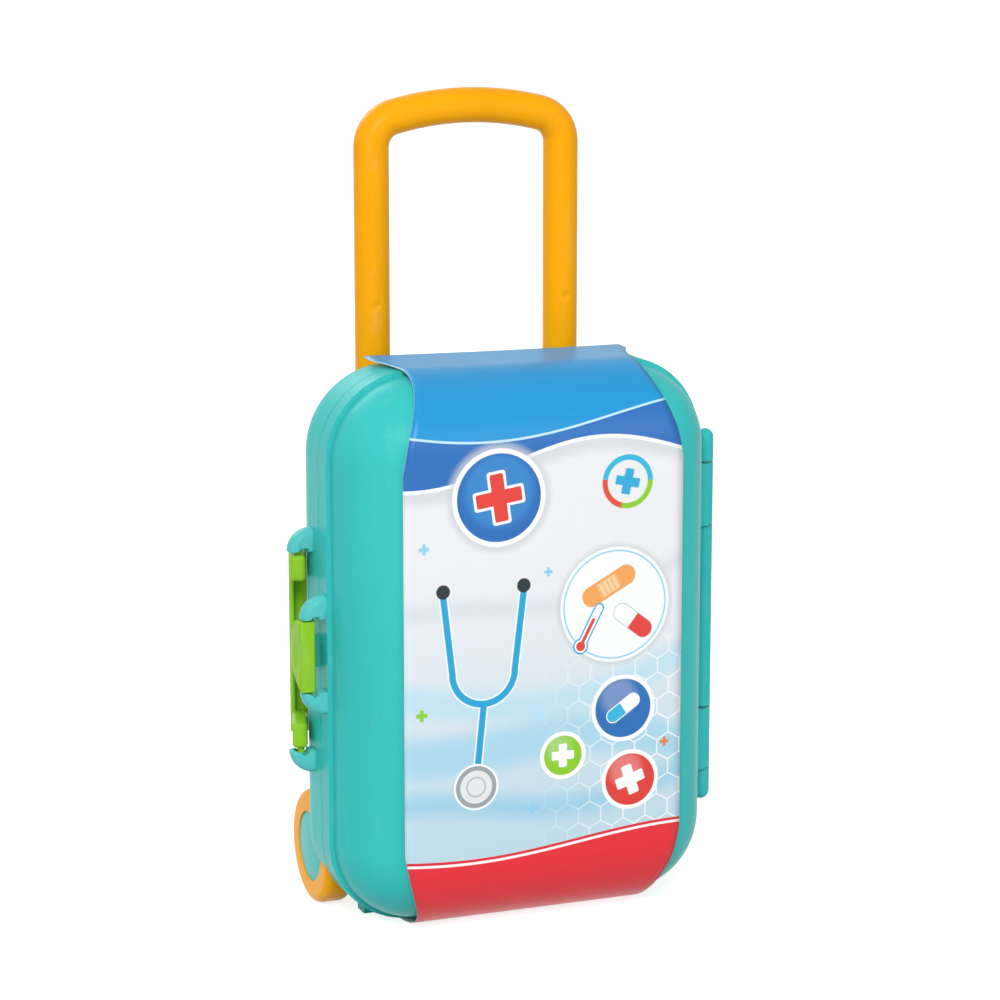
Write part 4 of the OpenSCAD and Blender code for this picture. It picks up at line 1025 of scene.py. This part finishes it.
# %% Latch wall, knuckle, studs and lip
front = soft_block(
    (LATCH_OUT + 1.2, LATCH_FRONT, MID_Z - LATCH_HALF),
    (LATCH_X + 2.4, LATCH_FRONT + 3.4, MID_Z + LATCH_HALF),
    1.2,
)
lip = soft_block((LATCH_OUT + 1.5, 5.5, MID_Z - 9), (-127.6, 8.2, MID_Z + 9), 0.8)
knuckle = [(-22.0, 0.1), (-22.0, 3.6), (-21.6, 4.0), (21.6, 4.0), (22.0, 3.6), (22.0, 0.1)]
stub = [(-28.4, 0.1), (-28.4, 1.8), (-28.2, 2.0), (28.2, 2.0), (28.4, 1.8), (28.4, 0.1)]
axis = (LATCH_X, LATCH_Y, MID_Z)
hook = merge("latch_hook", [
    closed("wall", front, "latch"),
    closed("knuckle", turned_points(knuckle, axis, 32), "latch"),
    closed("stub", turned_points(stub, axis, 28), "latch"),
    closed("lip", lip, "latch"),
])
for piece in (plate, hook):
    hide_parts("latch")
print("hook", len(hook.data.polygons), "faces")

# %% [markdown]
# ## Studio
#
# The photograph is a cut-out on white. A pale floor catches the contact shadow,
# the world and three large soft lamps light the object evenly, and the camera
# sees plain white behind it.


# %% Floor, world and lamps
def directly_seen(tree):
    """1 for rays of the camera, of gloss and of clear materials, 0 for those that light things."""
    rays = tree.nodes.new("ShaderNodeLightPath")
    total = rays.outputs["Is Camera Ray"]
    for name in ("Is Glossy Ray", "Is Transmission Ray"):
        both = tree.nodes.new("ShaderNodeMath")
        both.operation = "MAXIMUM"
        tree.links.new(total, both.inputs[0])
        tree.links.new(rays.outputs[name], both.inputs[1])
        total = both.outputs[0]
    return total


def backdrop_finish():
    """Matt pale floor. It is seen brighter than it is, so that only shadows on it are grey."""
    finish = Finish("floor")
    finish.set(Base_Color=colour("c8c8c8"), Roughness=0.95, Specular_IOR_Level=0.0)
    seen = Value(finish, directly_seen(finish.tree))
    finish.set(Emission_Color=(1, 1, 1, 1), Emission_Strength=seen * 0.8)
    return finish.material


FLOOR_HALF, FLOOR_ROWS = 6.0, 9
spread = np.linspace(-FLOOR_HALF, FLOOR_HALF, FLOOR_ROWS)
gx, gy = np.meshgrid(spread, spread, indexing="ij")
corner = np.arange(FLOOR_ROWS - 1)[:, None] * FLOOR_ROWS + np.arange(FLOOR_ROWS - 1)[None, :]
squares = np.stack([corner, corner + FLOOR_ROWS, corner + FLOOR_ROWS + 1, corner + 1], -1)
floor_mesh = bpy.data.meshes.new("floor")
floor_mesh.from_pydata(
    np.stack([gx, gy, gx * 0], -1).reshape(-1, 3).tolist(), [], squares.reshape(-1, 4).tolist()
)
floor = bpy.data.objects.new("floor", floor_mesh)
floor_mesh.materials.append(backdrop_finish())
scene.collection.objects.link(floor)

world = bpy.data.worlds.new("studio")
scene.world = world
world.use_nodes = True
background = world.node_tree.nodes["Background"]
background.inputs["Color"].default_value = (1, 1, 1, 1)
sky, join = world.node_tree.nodes, world.node_tree.links.new
# the room is darker on the object's right, so its right side keeps a deep colour
direction, split = sky.new("ShaderNodeTexCoord"), sky.new("ShaderNodeSeparateXYZ")
join(direction.outputs["Generated"], split.inputs[0])
dim = sky.new("ShaderNodeMapRange")
join(split.outputs[0], dim.inputs["Value"])
for key, value in {"From Min": -0.6, "From Max": 0.7, "To Min": 0.72, "To Max": 0.22}.items():
    dim.inputs[key].default_value = value
# what is seen directly is plain white
level = sky.new("ShaderNodeMapRange")
join(directly_seen(world.node_tree), level.inputs["Value"])
join(dim.outputs[0], level.inputs["To Min"])
level.inputs["To Max"].default_value = 1.0
join(level.outputs[0], background.inputs["Strength"])


def lamp(name, spot, aim, width, height, watts):
    """Soft box at spot, turned to aim."""
    data = bpy.data.lights.new(name, "AREA")
    data.shape, data.size, data.size_y, data.energy = "RECTANGLE", width, height, watts
    item = bpy.data.objects.new(name, data)
    item.location = spot
    away = np.array(aim, float) - np.array(spot, float)
    yaw = math.atan2(away[1], away[0])
    item.rotation_euler = (math.acos(-away[2] / np.linalg.norm(away)), 0.0, yaw - math.pi / 2)
    scene.collection.objects.link(item)


lamp("key", (-1.0, -2.4, 2.0), (0, 0, 0.2), 1.2, 1.2, 57)
lamp("fill", (1.3, -2.6, 0.9), (0, 0, 0.2), 1.5, 1.5, 11)
lamp("rim", (-0.6, 2.2, 1.8), (0, 0, 0.3), 1.6, 1.0, 22)
print("lamps:", [light.name for light in bpy.data.lights])
